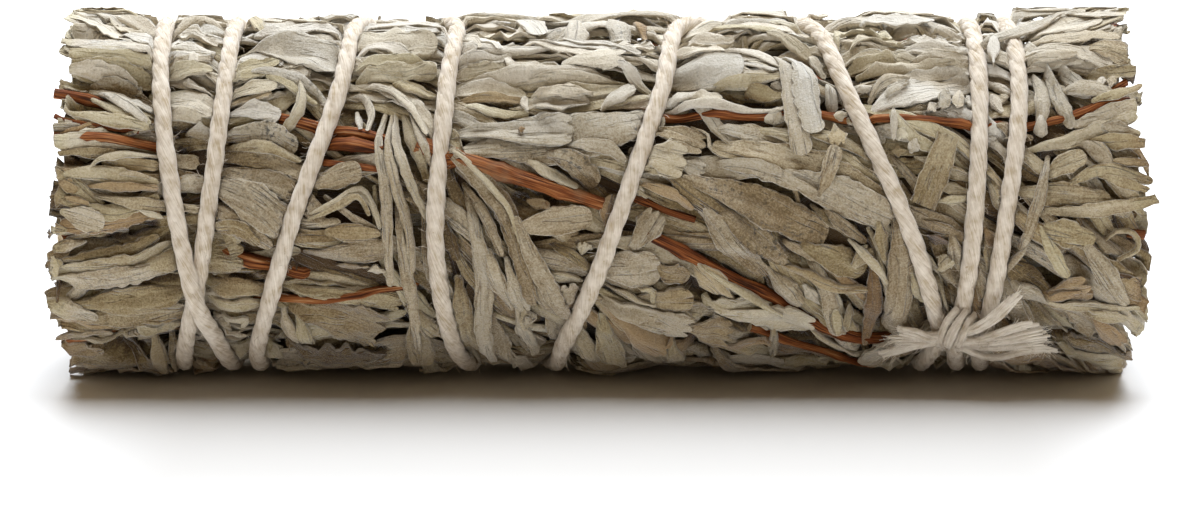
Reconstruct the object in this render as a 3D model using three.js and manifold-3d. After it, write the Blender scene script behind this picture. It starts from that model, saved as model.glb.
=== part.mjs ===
// A blue sage smudge stick: sprigs of dried sagebrush, cut to one length, laid side by side and
// bound by one cotton string. The string starts at a knot near the right end, winds round the
// stick to its left end, comes back over itself and is tied to its own start.
//
// Millimetres, +Z up. The stick lies along X on the plane Z = 0, its origin under its middle.
// A place in the stick is its x, its distance r from the stick's axis and its angle round that
// axis in degrees: 0 faces -Y, 90 is the top, 180 faces +Y and -90 is the underside.

import * as THREE from "three";
import { mergeVertices } from "three/addons/utils/BufferGeometryUtils.js";
import { TessellateModifier } from "three/addons/modifiers/TessellateModifier.js";
import Module from "manifold-3d";

const { degToRad, radToDeg, lerp, smoothstep } = THREE.MathUtils;

// Driving dimensions.
const LENGTH = 101.6;
const GAP = 0.3;
const CORE_SPRIG_RADIUS = 3.5;
const MIDDLE_RING_RADIUS = 8.9;
const PACKED_RADIUS = 15;
const LEAF_THICKNESS = 0.4;
const STRING_DIAMETER = 1.6;

// What follows from them.
const HALF_LENGTH = LENGTH / 2;
const LEAF_RADIUS = PACKED_RADIUS + GAP;
const STRING_RADIUS = PACKED_RADIUS + 1.5 * GAP + STRING_DIAMETER / 2;
const AXIS_HEIGHT = STRING_RADIUS + STRING_DIAMETER / 2; // the string rests on the table

// The sprigs stand in three rings round the axis, and lean round it a little along the stick.
const MIDDLE_SPRIGS = 6;
const OUTER_SPRIGS = 12;
const SPRIG_TWIST = 20; // degrees from the left end to the right end
const END_TAPER = 0.05; // share of the radius lost at each cut end
const END_TAPER_LENGTH = 12;

// Each stem of the outer ring, as [x, r, angle] of its outer side from its thick end to its tip,
// and its radius at these two ends.
const AT_SURFACE = PACKED_RADIUS;
const INSIDE = PACKED_RADIUS - 1.6;
const OUTER_STEMS = [
  {
    radii: [1.0, 0.5],
    route: [
      [-50.8, AT_SURFACE, 28], [-40, AT_SURFACE, 28.5], [-30, AT_SURFACE, 27.5], [-20, AT_SURFACE, 24.5],
      [-13, AT_SURFACE, 22], [-2, AT_SURFACE, 7.5], [9, AT_SURFACE, -1], [15, INSIDE, -5],
    ],
  },
  {
    radii: [1.1, 0.55],
    route: [
      [-50.4, INSIDE, -30], [-38, INSIDE, -33], [-30, AT_SURFACE, -30.5], [-20, AT_SURFACE, -25],
      [-10, INSIDE, -25],
    ],
  },
  {
    radii: [0.95, 0.7],
    route: [
      [49.6, AT_SURFACE, -62], [36, INSIDE, -62], [27, AT_SURFACE, -56], [18.6, AT_SURFACE, -36],
      [5, AT_SURFACE, -10], [0, INSIDE, -6],
    ],
  },
  {
    radii: [0.95, 0.45],
    route: [
      [50.8, AT_SURFACE, 45], [44, AT_SURFACE, 39], [35, AT_SURFACE, 34], [20, AT_SURFACE, 36.5],
      [6, AT_SURFACE, 38], [-3, INSIDE, 40],
    ],
  },
  {
    radii: [1.15, 0.6],
    route: [
      [-50.8, AT_SURFACE, 46], [-45, AT_SURFACE, 45], [-34, INSIDE, 43], [-24, INSIDE, 40],
      [-10, INSIDE, 44],
    ],
  },
  {
    radii: [1.2, 0.6],
    route: [
      [-50.2, INSIDE, -14], [-34, AT_SURFACE, -15.5], [-27, AT_SURFACE, -18], [-16, INSIDE, -13],
      [-6, INSIDE, -13],
    ],
  },
  {
    radii: [1.0, 0.6],
    route: [[-50.6, AT_SURFACE, -62], [-45, AT_SURFACE, -52], [-34, INSIDE, -50], [-12, INSIDE, -47]],
  },
  {
    radii: [1.1, 0.6],
    route: [[50.6, INSIDE, -6], [38, INSIDE, -4], [24, INSIDE, 2], [14, INSIDE, 12]],
  },
  {
    radii: [1.1, 0.5],
    route: [
      [50.7, AT_SURFACE, 112], [38, AT_SURFACE, 108], [20, AT_SURFACE, 117], [2, AT_SURFACE, 126],
      [-10, INSIDE, 130],
    ],
  },
  {
    radii: [1.2, 0.5],
    route: [
      [-50.7, INSIDE, 146], [-38, AT_SURFACE, 150], [-22, AT_SURFACE, 166], [-6, AT_SURFACE, 184],
      [6, INSIDE, 194],
    ],
  },
  {
    radii: [1.05, 0.6],
    route: [[50.5, AT_SURFACE, 176], [36, AT_SURFACE, 172], [22, AT_SURFACE, 178], [8, INSIDE, 184]],
  },
  {
    radii: [1.1, 0.55],
    route: [
      [-50.5, AT_SURFACE, 212], [-36, AT_SURFACE, 208], [-20, INSIDE, 214], [4, INSIDE, 222],
      [22, INSIDE, 218],
    ],
  },
];

// Leaves that lie on the outside: [x, angle] of the base, its heading (0 points to +X and 90
// goes up the front), length, width and number of lobes at its tip.
const OUTER_LEAVES = [
  [-13.2, 18, 4, 13, 4.6, 3],
  [4.8, 22, 3, 13, 4.4, 1],
  [-11, -9, 9, 9.5, 3.8, 1],
  [0.5, -44, -20, 14, 5.6, 3],
  [8, -2, -14, 19, 4.8, 1],
  [-25.2, 6, -4, 7.8, 4.4, 3],
  [-49, -16, 10, 8, 4.2, 3],
  [-12.4, 57, -2, 15, 4.4, 1],
  [9.4, 64, 3, 8.5, 4.2, 3],
  [23.4, 60, 2, 9.5, 4.2, 1],
  [29.7, 18, -72, 7, 2.4, 1],
  [42, 8, -18, 8.2, 4, 3],
  [-32.6, 72, 2, 7.8, 4.2, 1],
  [-12, 98, 5, 16, 4.6, 3],
  [21.7, 92, -3, 11, 4.2, 1],
  [-32.2, 118, 6, 9, 4.6, 3],
  [-13.5, 152, -6, 15, 4.6, 3],
  [23.2, 148, 4, 8.6, 4.4, 1],
];
// Wide leaves that the stick's weight has pressed flat against the table: x of the base, length.
const UNDER_LEAVES = [[-30, 14.5], [5, 15], [39, 9.5]];
const UNDER_LEAF_WIDTH = 8;

// The string's path as [angle, x], from the knot down the front, under and on, 8 times round and
// back to the knot.
const STRING_PATH = [
  [-45, 32], [-75, 30.6], [-130, 31], [-175, 33], [-220, 34.5], [-265, 35], [-315, 35.2], [-365, 34.4],
  [-410, 33.4], [-440, 34], [-490, 35], [-535, 36.5], [-580, 37.8], [-625, 38.4], [-675, 38.9],
  [-725, 37.2], [-770, 35.8], [-800, 36.2], [-850, 36.8], [-895, 30], [-940, 18.5], [-985, 8.3],
  [-1035, 5.6], [-1085, 1], [-1130, -3.3], [-1160, -4.3], [-1210, -8], [-1255, -13], [-1300, -18.5],
  [-1345, -22.7], [-1395, -24.3], [-1445, -28.9], [-1490, -32], [-1520, -32.3], [-1570, -32.6],
  [-1660, -34.4], [-1705, -34.5], [-1755, -34.9], [-1805, -36.5], [-1850, -38.8], [-1880, -39.6],
  [-1930, -40.5], [-2020, -41.4], [-2065, -41.2], [-2115, -40.7], [-2165, -38.7], [-2210, -35.8],
  [-2240, -34.9], [-2290, -34.6], [-2335, -29.5], [-2380, -21.5], [-2425, -14], [-2475, -14.3],
  [-2525, -15.2], [-2570, -13.8], [-2600, -12.3], [-2650, -10.3], [-2695, -1], [-2740, 10],
  [-2785, 19], [-2835, 23], [-2885, 28.9], [-2921, 31.8],
];
const KNOT = { x: 32.2, r: STRING_RADIUS + 0.8, angle: -43, size: [2.2, 1.7, 1.6] };
const TAIL_RADIUS = 0.5;
const TAIL_ENDS = [
  [38.8, 17.2, -26], [41, 17.2, -40], [42.2, 17, -48], [41.6, 16.8, -56], [26.8, 16.8, -55],
];

const wasm = await Module();
wasm.setup();

// ---- Places ----

// The point at a place in the stick: the cut ends taper, and nothing goes below the table.
function pointAt(x, r, angle) {
  const nearEnd = smoothstep(Math.abs(x), HALF_LENGTH - END_TAPER_LENGTH, HALF_LENGTH);
  const reach = r * (1 - END_TAPER * nearEnd);
  const turn = degToRad(angle);
  return new THREE.Vector3(x, -reach * Math.cos(turn), Math.max(0, AXIS_HEIGHT + reach * Math.sin(turn)));
}

// Moves each vertex of a geometry to place(vertex), and drops what then no longer holds.
function moveVertices(geometry, place) {
  const position = geometry.getAttribute("position");
  const vertex = new THREE.Vector3();
  for (let i = 0; i < position.count; i++) {
    vertex.copy(place(vertex.fromBufferAttribute(position, i)));
    position.setXYZ(i, vertex.x, vertex.y, vertex.z);
  }
  geometry.deleteAttribute("normal");
  geometry.deleteAttribute("uv");
  return geometry;
}

// A smooth curve through rows of numbers whose first number only falls or only rises.
function smoothTable(rows) {
  const rising = rows[0][0] < rows.at(-1)[0] ? rows : [...rows].reverse();
  return (at) => {
    const last = rising.length - 2;
    const found = rising.findLastIndex((row) => row[0] <= at);
    const i = Math.min(Math.max(found, 0), last);
    const t = THREE.MathUtils.clamp((at - rising[i][0]) / (rising[i + 1][0] - rising[i][0]), 0, 1);
    const slope = (j, k) => {
      const [before, after] = [rising[Math.max(j - 1, 0)], rising[Math.min(j + 1, last + 1)]];
      return (after[k] - before[k]) / (after[0] - before[0]);
    };
    const width = rising[i + 1][0] - rising[i][0];
    return rising[i].slice(1).map((value, k) => {
      const [t2, t3] = [t * t, t * t * t];
      const ends = (2 * t3 - 3 * t2 + 1) * value + (3 * t2 - 2 * t3) * rising[i + 1][k + 1];
      return ends + width * ((t3 - 2 * t2 + t) * slope(i, k + 1) + (t3 - t2) * slope(i + 1, k + 1));
    });
  };
}

// ---- Solids ----

function asSolid(geometry) {
  const merged = mergeVertices(geometry, 1e-4);
  return new wasm.Manifold(new wasm.Mesh({
    numProp: 3,
    vertProperties: new Float32Array(merged.getAttribute("position").array),
    triVerts: new Uint32Array(merged.index.array),
  }));
}

function asGeometry(solid) {
  const { vertProperties, triVerts } = solid.getMesh();
  return new THREE.BufferGeometry()
    .setAttribute("position", new THREE.BufferAttribute(vertProperties, 3))
    .setIndex(new THREE.BufferAttribute(triVerts, 1));
}

// What is left of a solid once the cutters are taken away, without the slivers they cut loose.
function cutBy(solid, cutters) {
  const left = cutters.reduce((rest, cutter) => rest.subtract(cutter), solid);
  return left.decompose().reduce((a, b) => (a.volume() > b.volume() ? a : b));
}

// ---- Sprigs ----

// A stem whose outer side follows a route of [x, r, angle], narrowing from radii[0] to radii[1].
function stemGeometry({ route, radii }, allowance = 0) {
  const section = new THREE.Shape().absarc(0, 0, 1, 0, 2 * Math.PI);
  const [from, to] = [route[0][0], route.at(-1)[0]];
  const steps = Math.ceil(Math.abs(to - from) / 8);
  const options = { depth: 1, steps, bevelEnabled: false, curveSegments: 3 };
  const geometry = new THREE.ExtrudeGeometry(section, options);
  const along = smoothTable(route);
  const toTip = Math.sign(to - from);
  return moveVertices(geometry, ({ x: across, y: outwards, z }) => {
    const share = to > from ? z : 1 - z;
    const x = lerp(from, to, share) + toTip * allowance * (2 * share - 1);
    const [r, angle] = along(lerp(from, to, share));
    const radius = lerp(radii[0], radii[1], share);
    const fromCentre = new THREE.Vector3(0, -outwards, across);
    fromCentre.applyAxisAngle(new THREE.Vector3(-1, 0, 0), degToRad(angle));
    return pointAt(x, r - radius, angle).addScaledVector(fromCentre, radius + allowance);
  });
}

// The section of one sprig's leaves: a ring's sector with rounded corners, or the middle round.
function sectorShape(inner, outer, from, to) {
  const shape = new THREE.Shape();
  if (inner === 0) return shape.absarc(0, 0, outer, 0, 2 * Math.PI);
  const corner = 0.9;
  const at = (r, turn) => [r * Math.cos(turn), r * Math.sin(turn)];
  const [outTurn, inTurn] = [corner / outer, corner / inner];
  shape.absarc(0, 0, outer, from + outTurn, to - outTurn);
  shape.quadraticCurveTo(...at(outer, to), ...at(outer - corner, to));
  shape.lineTo(...at(inner + corner, to));
  shape.quadraticCurveTo(...at(inner, to), ...at(inner, to - inTurn));
  shape.absarc(0, 0, inner, to - inTurn, from + inTurn, true);
  shape.quadraticCurveTo(...at(inner, from), ...at(inner + corner, from));
  shape.lineTo(...at(outer - corner, from));
  shape.quadraticCurveTo(...at(outer, from), ...at(outer, from + outTurn));
  return shape;
}

// The packed leaves of one sprig, from one cut end of the stick to the other.
function leavesGeometry({ shape, short, steps, curveSegments }) {
  const [left, right] = [-HALF_LENGTH + short[0], HALF_LENGTH - short[1]];
  const options = { depth: 1, steps, bevelEnabled: false, curveSegments };
  return moveVertices(new THREE.ExtrudeGeometry(shape, options), (vertex) => {
    const x = lerp(left, right, vertex.z);
    const angle = radToDeg(Math.atan2(vertex.y, -vertex.x)) + SPRIG_TWIST * (x / LENGTH);
    return pointAt(x, Math.hypot(vertex.x, vertex.y), angle);
  });
}

// Each sprig's section, and how far its leaves stop short of the stick's two ends.
function sprigSections() {
  const sections = [
    { shape: sectorShape(0, CORE_SPRIG_RADIUS), short: [1.1, 0.8], steps: 3, curveSegments: 6 },
  ];
  const ring = (count, inner, outer, steps) => {
    const halfGap = GAP / (inner + outer);
    for (let i = 0; i < count; i++) {
      const [from, to] = [i, i + 1].map((n) => (2 * Math.PI * n) / count);
      const shape = sectorShape(inner, outer, from + halfGap, to - halfGap);
      const short = [0.5 + ((i * 5) % 4) * 0.3, 0.4 + ((i * 3) % 5) * 0.3];
      sections.push({ shape, short, steps, curveSegments: 2 });
    }
  };
  ring(MIDDLE_SPRIGS, CORE_SPRIG_RADIUS + GAP, MIDDLE_RING_RADIUS, 4);
  ring(OUTER_SPRIGS, MIDDLE_RING_RADIUS + GAP, PACKED_RADIUS, 6);
  return sections;
}

// The stems of the core sprig and the middle ring run straight through their own leaves.
function innerStems() {
  const radii = [1.25, 0.7];
  const outerSide = (CORE_SPRIG_RADIUS + GAP + MIDDLE_RING_RADIUS) / 2 + radii[0];
  const stems = [{ radii, route: [-HALF_LENGTH, 0, 42].map((x) => [x, radii[0], 0]) }];
  for (let i = 0; i < MIDDLE_SPRIGS; i++) {
    const angle = ((i + 0.5) * 360) / MIDDLE_SPRIGS;
    const side = i % 2 ? 1 : -1;
    const butt = side * (HALF_LENGTH - 0.2 * (i % 3));
    const route = [butt, 0, -side * 38].map((x) => [x, outerSide, angle + SPRIG_TWIST * (x / LENGTH)]);
    stems.push({ radii, route });
  }
  return stems;
}

// ---- Leaves on the outside ----

// A wedge-shaped sage leaf, flat, with its base at the origin and its lobed tip towards +X.
function leafShape(length, width, lobes) {
  const [halfStalk, half, shoulder] = [0.5, width / 2, length * 0.82];
  const notch = shoulder + 0.05 * length;
  const shape = new THREE.Shape().moveTo(0, -halfStalk);
  shape.bezierCurveTo(length * 0.4, -halfStalk, length * 0.5, -half, shoulder, -half);
  for (let i = 0; i < lobes; i++) {
    const [from, to] = [i, i + 1].map((n) => -half + (width * n) / lobes);
    const isMiddle = i === (lobes - 1) / 2;
    const reach = length * (isMiddle ? 1.15 : 1.02);
    shape.bezierCurveTo(reach, from, reach, to, i === lobes - 1 ? shoulder : notch, to);
  }
  shape.bezierCurveTo(length * 0.5, half, length * 0.4, halfStalk, 0, halfStalk);
  return shape;
}

// Lays a flat leaf round the stick, between the radii inner and outer.
function laidLeaf([x, angle, heading, length, width, lobes], inner, outer) {
  const longestEdge = 4;
  const flat = new THREE.ExtrudeGeometry(leafShape(length, width, lobes), {
    depth: 1, bevelEnabled: false, curveSegments: 3,
  });
  flat.deleteAttribute("normal");
  flat.deleteAttribute("uv");
  const fine = new TessellateModifier(longestEdge, 8).modify(flat);
  const turn = degToRad(heading);
  return moveVertices(fine, (vertex) => {
    const along = vertex.x * Math.cos(turn) - vertex.y * Math.sin(turn);
    const round = vertex.x * Math.sin(turn) + vertex.y * Math.cos(turn);
    return pointAt(x + along, lerp(inner, outer, vertex.z), angle + radToDeg(round / inner));
  });
}

// ---- String ----

// How far the string is lifted where it runs over a stretch it has already laid.
function liftOver(places, index) {
  const clear = STRING_DIAMETER + 0.12;
  const [x, angle] = places[index];
  let nearest = Infinity;
  for (const [otherX, otherAngle] of places.slice(0, index)) {
    const apart = (((angle - otherAngle) % 360) + 540) % 360 - 180;
    if (Math.abs(angle - otherAngle) > 180) {
      nearest = Math.min(nearest, Math.hypot(x - otherX, degToRad(apart) * STRING_RADIUS));
    }
  }
  const share = Math.min(nearest / (1.9 * clear), 1);
  const fromUnderside = Math.abs((((angle + 90) % 360) + 540) % 360 - 180);
  return clear * (1 - share * share) ** 2 * smoothstep(fromUnderside, 28, 40);
}

// The string's centreline, close on the packed leaves.
function stringCentreline() {
  const spacing = 15;
  const along = smoothTable(STRING_PATH);
  const [first, last] = [STRING_PATH[0][0], STRING_PATH.at(-1)[0]];
  const count = Math.round((first - last) / spacing);
  const angles = Array.from({ length: count + 1 }, (_, i) => lerp(first, last, i / count));
  const places = angles.map((angle) => [along(angle)[0], angle]);
  return places.map(([x, angle], index) => pointAt(x, STRING_RADIUS + liftOver(places, index), angle));
}

function cordSolid(points, radius, steps) {
  const section = new THREE.Shape().absarc(0, 0, radius, 0, 2 * Math.PI);
  const extrudePath = new THREE.CatmullRomCurve3(points);
  const options = { extrudePath, steps, bevelEnabled: false, curveSegments: 3 };
  const geometry = new THREE.ExtrudeGeometry(section, options);
  return asSolid(moveVertices(geometry, (vertex) => vertex.setZ(Math.max(0, vertex.z))));
}

// The knot, a round lump of the string's own loops, and the frayed ends that fan out of it.
function knotSolid() {
  const { x, r, angle, size } = KNOT;
  const lump = moveVertices(new THREE.SphereGeometry(1, 10, 8), (v) => {
    return pointAt(x + v.x * size[0], r - v.y * size[2], angle + radToDeg((v.z * size[1]) / r));
  });
  const tails = TAIL_ENDS.map(([endX, endR, endAngle]) => {
    const middle = [lerp(x, endX, 0.5), Math.max(r, endR) + 0.4, lerp(angle, endAngle, 0.5)];
    const points = [pointAt(x, r, angle), pointAt(...middle), pointAt(endX, endR, endAngle)];
    return cordSolid(points, TAIL_RADIUS, 5);
  });
  return tails.reduce((whole, tail) => whole.add(tail), asSolid(lump));
}

function stringSolid() {
  const points = stringCentreline();
  return cordSolid(points, STRING_DIAMETER / 2, points.length).add(knotSolid());
}

// ---- The stick ----

const dryLeaf = new THREE.MeshStandardMaterial({ color: 0xa39c88, roughness: 0.95, metalness: 0 });
const bark = new THREE.MeshStandardMaterial({ color: 0x7d4c2c, roughness: 0.75, metalness: 0 });
const cotton = new THREE.MeshStandardMaterial({ color: 0xdccfbc, roughness: 1, metalness: 0 });

const stick = new THREE.Group();

function addPiece(name, geometry, material) {
  const mesh = new THREE.Mesh(geometry, material);
  mesh.name = name;
  stick.add(mesh);
}

const twoDigits = (index) => String(index + 1).padStart(2, "0");

function addSprigs() {
  const stems = [...innerStems(), ...OUTER_STEMS];
  const channels = stems.map((stem) => asSolid(stemGeometry(stem, GAP)));
  stems.forEach((stem, i) => addPiece(`sprig_stem_${twoDigits(i)}`, stemGeometry(stem), bark));
  sprigSections().forEach((section, i) => {
    const leaves = asSolid(leavesGeometry(section));
    addPiece(`sprig_leaves_${twoDigits(i)}`, asGeometry(cutBy(leaves, channels)), dryLeaf);
  });
}

function addLeaves() {
  OUTER_LEAVES.forEach((leaf, i) => {
    const geometry = laidLeaf(leaf, LEAF_RADIUS, LEAF_RADIUS + LEAF_THICKNESS);
    addPiece(`outer_leaf_${twoDigits(i)}`, geometry, dryLeaf);
  });
  UNDER_LEAVES.forEach(([x, length], i) => {
    const belowTable = AXIS_HEIGHT * 1.06;
    const leaf = [x, -90, 0, length, UNDER_LEAF_WIDTH, 3];
    addPiece(`under_leaf_${twoDigits(i)}`, laidLeaf(leaf, LEAF_RADIUS, belowTable), dryLeaf);
  });
}

addSprigs();
addLeaves();
addPiece("binding_string", asGeometry(stringSolid()), cotton);

export default stick;
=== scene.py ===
"""A blue sage smudge stick: cut sprigs of dried sage leaves and stems, bound by one cotton string.

Every leaf is laid on the bundle in turn, as a binder's hand lays them, and settles on those below it.
Lengths are in millimetres and angles in degrees unless a name says otherwise. A place on the stick is
(x, angle): x along the stick, and the angle round it, 0 at the front, 90 on top, 180 at the back. The way
round is also given as s, in millimetres on the stick rolled out flat.
"""

import functools
import math

import bpy
import numpy as np
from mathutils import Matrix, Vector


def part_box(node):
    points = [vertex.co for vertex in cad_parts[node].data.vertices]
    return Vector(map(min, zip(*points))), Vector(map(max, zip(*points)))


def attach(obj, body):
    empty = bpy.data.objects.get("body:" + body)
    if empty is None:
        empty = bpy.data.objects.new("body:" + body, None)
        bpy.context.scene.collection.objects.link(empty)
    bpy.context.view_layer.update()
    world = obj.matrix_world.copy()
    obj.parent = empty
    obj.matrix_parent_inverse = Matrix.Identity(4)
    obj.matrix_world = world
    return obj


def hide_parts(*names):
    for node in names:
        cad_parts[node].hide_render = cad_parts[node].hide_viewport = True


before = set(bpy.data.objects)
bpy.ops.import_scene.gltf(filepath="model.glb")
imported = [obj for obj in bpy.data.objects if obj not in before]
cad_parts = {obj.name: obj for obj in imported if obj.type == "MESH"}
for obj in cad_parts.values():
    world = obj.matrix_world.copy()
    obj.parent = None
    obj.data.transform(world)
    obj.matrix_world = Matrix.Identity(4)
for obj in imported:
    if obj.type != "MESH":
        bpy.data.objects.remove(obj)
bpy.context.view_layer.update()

bl_info = {
    "name": "Smudge stick",
    "version": (1, 0, 0),
    "blender": (4, 5, 0),
    "location": "View3D > Sidebar > Smudge stick",
    "description": "Lays the leaves, stems and cotton string of a bound sage stick round its frame",
    "category": "Add Mesh",
}

MM = 0.001
BODY = "root"
ONE_TURN = 360.0
GOLDEN_ANGLE = math.pi * (3 - math.sqrt(5))

# The frame's own sizes: the core sprig runs from cut end to cut end along the stick's axis.
CORE_LOW, CORE_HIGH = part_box("sprig_leaves_01")
AXIS_HEIGHT = (CORE_LOW.z + CORE_HIGH.z) / 2 / MM
HALF_LENGTH = (CORE_HIGH.x - CORE_LOW.x) / 2 / MM
OUTER_SPRIGS = 12
FIRST_OUTER_SPRIG = 8
INNER_SPRIGS = 7
SPRIG_TWIST = 20.0
# How far from the axis the middles of the inner and of the outer sprigs lie, and where each kind ends.
SPRIG_RINGS = (6.2, 11.2)
SPRIG_BOUNDS = (3.5, 8.9)

# The bundle's outside.
ROLL_RADIUS = 16.0
BUNDLE_RADIUS = 16.3
BARE_RADIUS = 14.3
END_TAPER = 0.5
END_TAPER_LENGTH = 7.0
FLOOR_CLEARANCE = 0.05
# Radii past the soft top are drawn in, and none passes the top.
SOFT_TOP = 16.9
TOP_RADIUS = 17.8
# How far the middle of a stem can stand out from the surface.
STEM_STANDS = 0.3
# Leaves deeper than this below the surface have been pressed together, to this part of their depth.
SHALLOW = 0.7
SETTLED = 0.5
# The surface follows the heap of leaves, smoothed over this length.
SETTLE_BLUR = 3.4

# The string. It presses a bed into the leaves, and is lifted where it crosses itself.
STRING_DIAMETER = 1.84
STRING_RADIUS = 16.08
STRING_BED = 0.75
STRING_BED_WIDTH = 2.2
STRING_REACH = 5.0
STRING_STEP = 0.5
CROSSING_LIFT = 1.45
CROSSING_REACH = 2.6
# The string isn't lifted where the stick rests on it.
UNDERSIDE = (-135, -55)
NO_LIMIT = 99.0
# How fast the cotton fibres turn round their ply, in radians a metre.
FIBRE_SLANT = 330.0
# Stray fibres in each frayed bundle.
FLUFF = 22

# The stick rolled out flat, as a grid of cells.
CELL = 0.25
EDGE_ROOM = 2.0
TURN_LENGTH = 2 * math.pi * ROLL_RADIUS
MM_PER_DEGREE = TURN_LENGTH / ONE_TURN


# ---- Curves and shapes ----


def step_lengths(line):
    """The length of each step along a line of points."""
    return np.linalg.norm(np.diff(line, axis=0), axis=1)


def unit(rows):
    """The same directions with a length of 1."""
    return rows / np.linalg.norm(rows, axis=1, keepdims=True)


def smooth_path(points, count, samples=24):
    """A smooth line through the points, in count places at equal steps."""
    points = np.array(points, float)
    if len(points) == 2:
        return points[0] + np.linspace(0, 1, count)[:, None] * (points[1] - points[0])
    padded = np.vstack([2 * points[0] - points[1], points, 2 * points[-1] - points[-2]])
    t = np.linspace(0, 1, samples, endpoint=False)[:, None]
    pieces = []
    for a, b, c, d in zip(padded, padded[1:], padded[2:], padded[3:]):
        curve = 2 * b + (c - a) * t + (2 * a - 5 * b + 4 * c - d) * t**2 + (3 * b - a - 3 * c + d) * t**3
        pieces.append(curve / 2)
    fine = np.vstack(pieces + [padded[-2:-1]])
    walked = np.concatenate([[0], np.cumsum(step_lengths(fine[:, :2]))])
    wanted = np.linspace(0, walked[-1], count)
    return np.stack([np.interp(wanted, walked, fine[:, k]) for k in range(fine.shape[1])], axis=1)


def ease(value):
    """Eases from 0 to 1 as value goes from 0 to 1."""
    value = np.clip(value, 0, 1)
    return value * value * (3 - 2 * value)


def bell(value):
    """A bump of height 1 at 0 that fades out past 1."""
    return np.exp(-(value**2))


def running_mean(values, count):
    """A list of numbers, each a soft mean of its count neighbours."""
    window = np.hanning(count)
    window /= window.sum()
    return np.convolve(np.pad(values, count // 2, mode="edge"), window, mode="valid")


def blur(field, sigma):
    """A soft copy of a field on the rolled-out stick. Its second axis goes round and closes on itself."""
    reach = int(3 * sigma) + 1
    weights = np.exp(-0.5 * (np.arange(-reach, reach + 1) / sigma) ** 2)
    weights /= weights.sum()
    ends = np.pad(field, ((reach, reach), (0, 0)), mode="edge")
    along = sum(w * ends[k : k + len(field)] for k, w in enumerate(weights))
    return sum(w * np.roll(along, k - reach, axis=1) for k, w in enumerate(weights))


def angle_at(s):
    """The angle of a place, from -180 to 180."""
    return (s / MM_PER_DEGREE + 180) % ONE_TURN - 180


def distance_round(a, b):
    """The shorter way round between two places on the rolled-out stick."""
    return (a - b + TURN_LENGTH / 2) % TURN_LENGTH - TURN_LENGTH / 2


class RolledOut:
    """A height or other number at each place on the outside of the stick, rolled out flat."""

    def __init__(self, value=0.0):
        self.columns = int(round(TURN_LENGTH / CELL))
        self.cell_round = TURN_LENGTH / self.columns
        self.edge = HALF_LENGTH + EDGE_ROOM
        self.rows = int(round(2 * self.edge / CELL)) + 1
        self.value = np.full((self.rows, self.columns), value, float)

    def places(self):
        x = -self.edge + CELL * np.arange(self.rows)
        s = self.cell_round * np.arange(self.columns)
        return np.meshgrid(x, s, indexing="ij")

    def read(self, x, s):
        i = np.clip((x + self.edge) / CELL, 0, self.rows - 1.001)
        j = (s / self.cell_round) % self.columns
        i0, j0 = i.astype(int), j.astype(int)
        fi, fj = i - i0, j - j0
        j0 = j0 % self.columns
        j1 = (j0 + 1) % self.columns
        v = self.value
        low = v[i0, j0] * (1 - fj) + v[i0, j1] * fj
        high = v[i0 + 1, j0] * (1 - fj) + v[i0 + 1, j1] * fj
        return low * (1 - fi) + high * fi

    def raise_to(self, x, s, height):
        i = np.clip(np.round((x + self.edge) / CELL).astype(int), 0, self.rows - 1)
        j = np.round(s / self.cell_round).astype(int) % self.columns
        np.maximum.at(self.value, (i, j), height)


def refine(grid, times):
    """Fills a grid of numbers in with straight steps, times along and across."""
    rows, columns = (np.linspace(0, n - 1, (n - 1) * k + 1) for n, k in zip(grid.shape, times))
    i = np.minimum(rows.astype(int), grid.shape[0] - 2)
    j = np.minimum(columns.astype(int), grid.shape[1] - 2)
    fi = (rows - i)[:, None]
    fj = (columns - j)[None, :]
    low = grid[i][:, j] * (1 - fj) + grid[i][:, j + 1] * fj
    high = grid[i + 1][:, j] * (1 - fj) + grid[i + 1][:, j + 1] * fj
    return low * (1 - fi) + high * fi


# ---- Leaves ----

# Each shape of leaf: width at the stalk and at the tip as parts of the full width, where it is widest,
# number of lobes, depth of the notches as a part of the width, and how round the tip is.
SHAPES = {
    "strip": dict(stalk=0.4, tip=0.62, widest=0.5, lobes=0, notch=0.0, round=1.0),
    "point": dict(stalk=0.4, tip=0.2, widest=0.5, lobes=0, notch=0.0, round=1.2),
    "spoon": dict(stalk=0.3, tip=0.88, widest=0.62, lobes=0, notch=0.0, round=0.75),
    "two": dict(stalk=0.3, tip=0.95, widest=0.8, lobes=2, notch=0.3, round=0.55),
    "three": dict(stalk=0.24, tip=1.0, widest=0.85, lobes=3, notch=0.19, round=0.55),
    "four": dict(stalk=0.24, tip=1.0, widest=0.85, lobes=4, notch=0.13, round=0.6),
    "five": dict(stalk=0.24, tip=1.0, widest=0.85, lobes=5, notch=0.11, round=0.6),
    "cut": dict(stalk=0.8, tip=0.9, widest=0.5, lobes=0, notch=0.0, round=0.05),
    "bud": dict(stalk=0.45, tip=0.5, widest=0.5, lobes=0, notch=0.0, round=1.0),
}

# Each finish of leaf: tone from 0, dark, to 1, pale; tint from 0, bluish grey, over 0.35, beige, and 0.7,
# olive, to 1, brown; and how many dark specks it has.
FINISHES = {
    "grey": (0.51, 0.04, 0.4),
    "blue": (0.54, 0.0, 0.3),
    "pale": (0.68, 0.3, 0.12),
    "bright": (0.85, 0.3, 0.05),
    "plain": (0.51, 0.42, 0.3),
    "speckled": (0.43, 0.1, 1.0),
    "tan": (0.48, 0.6, 0.2),
    "olive": (0.55, 0.72, 0.2),
    # The dark finish is also laid as painted shade: on the lining under all the leaves, and on some front leaves
    # in shadowed gaps.
    "dark": (0.22, 0.4, 0.4),
    "brown": (0.3, 0.95, 0.3),
}

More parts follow.
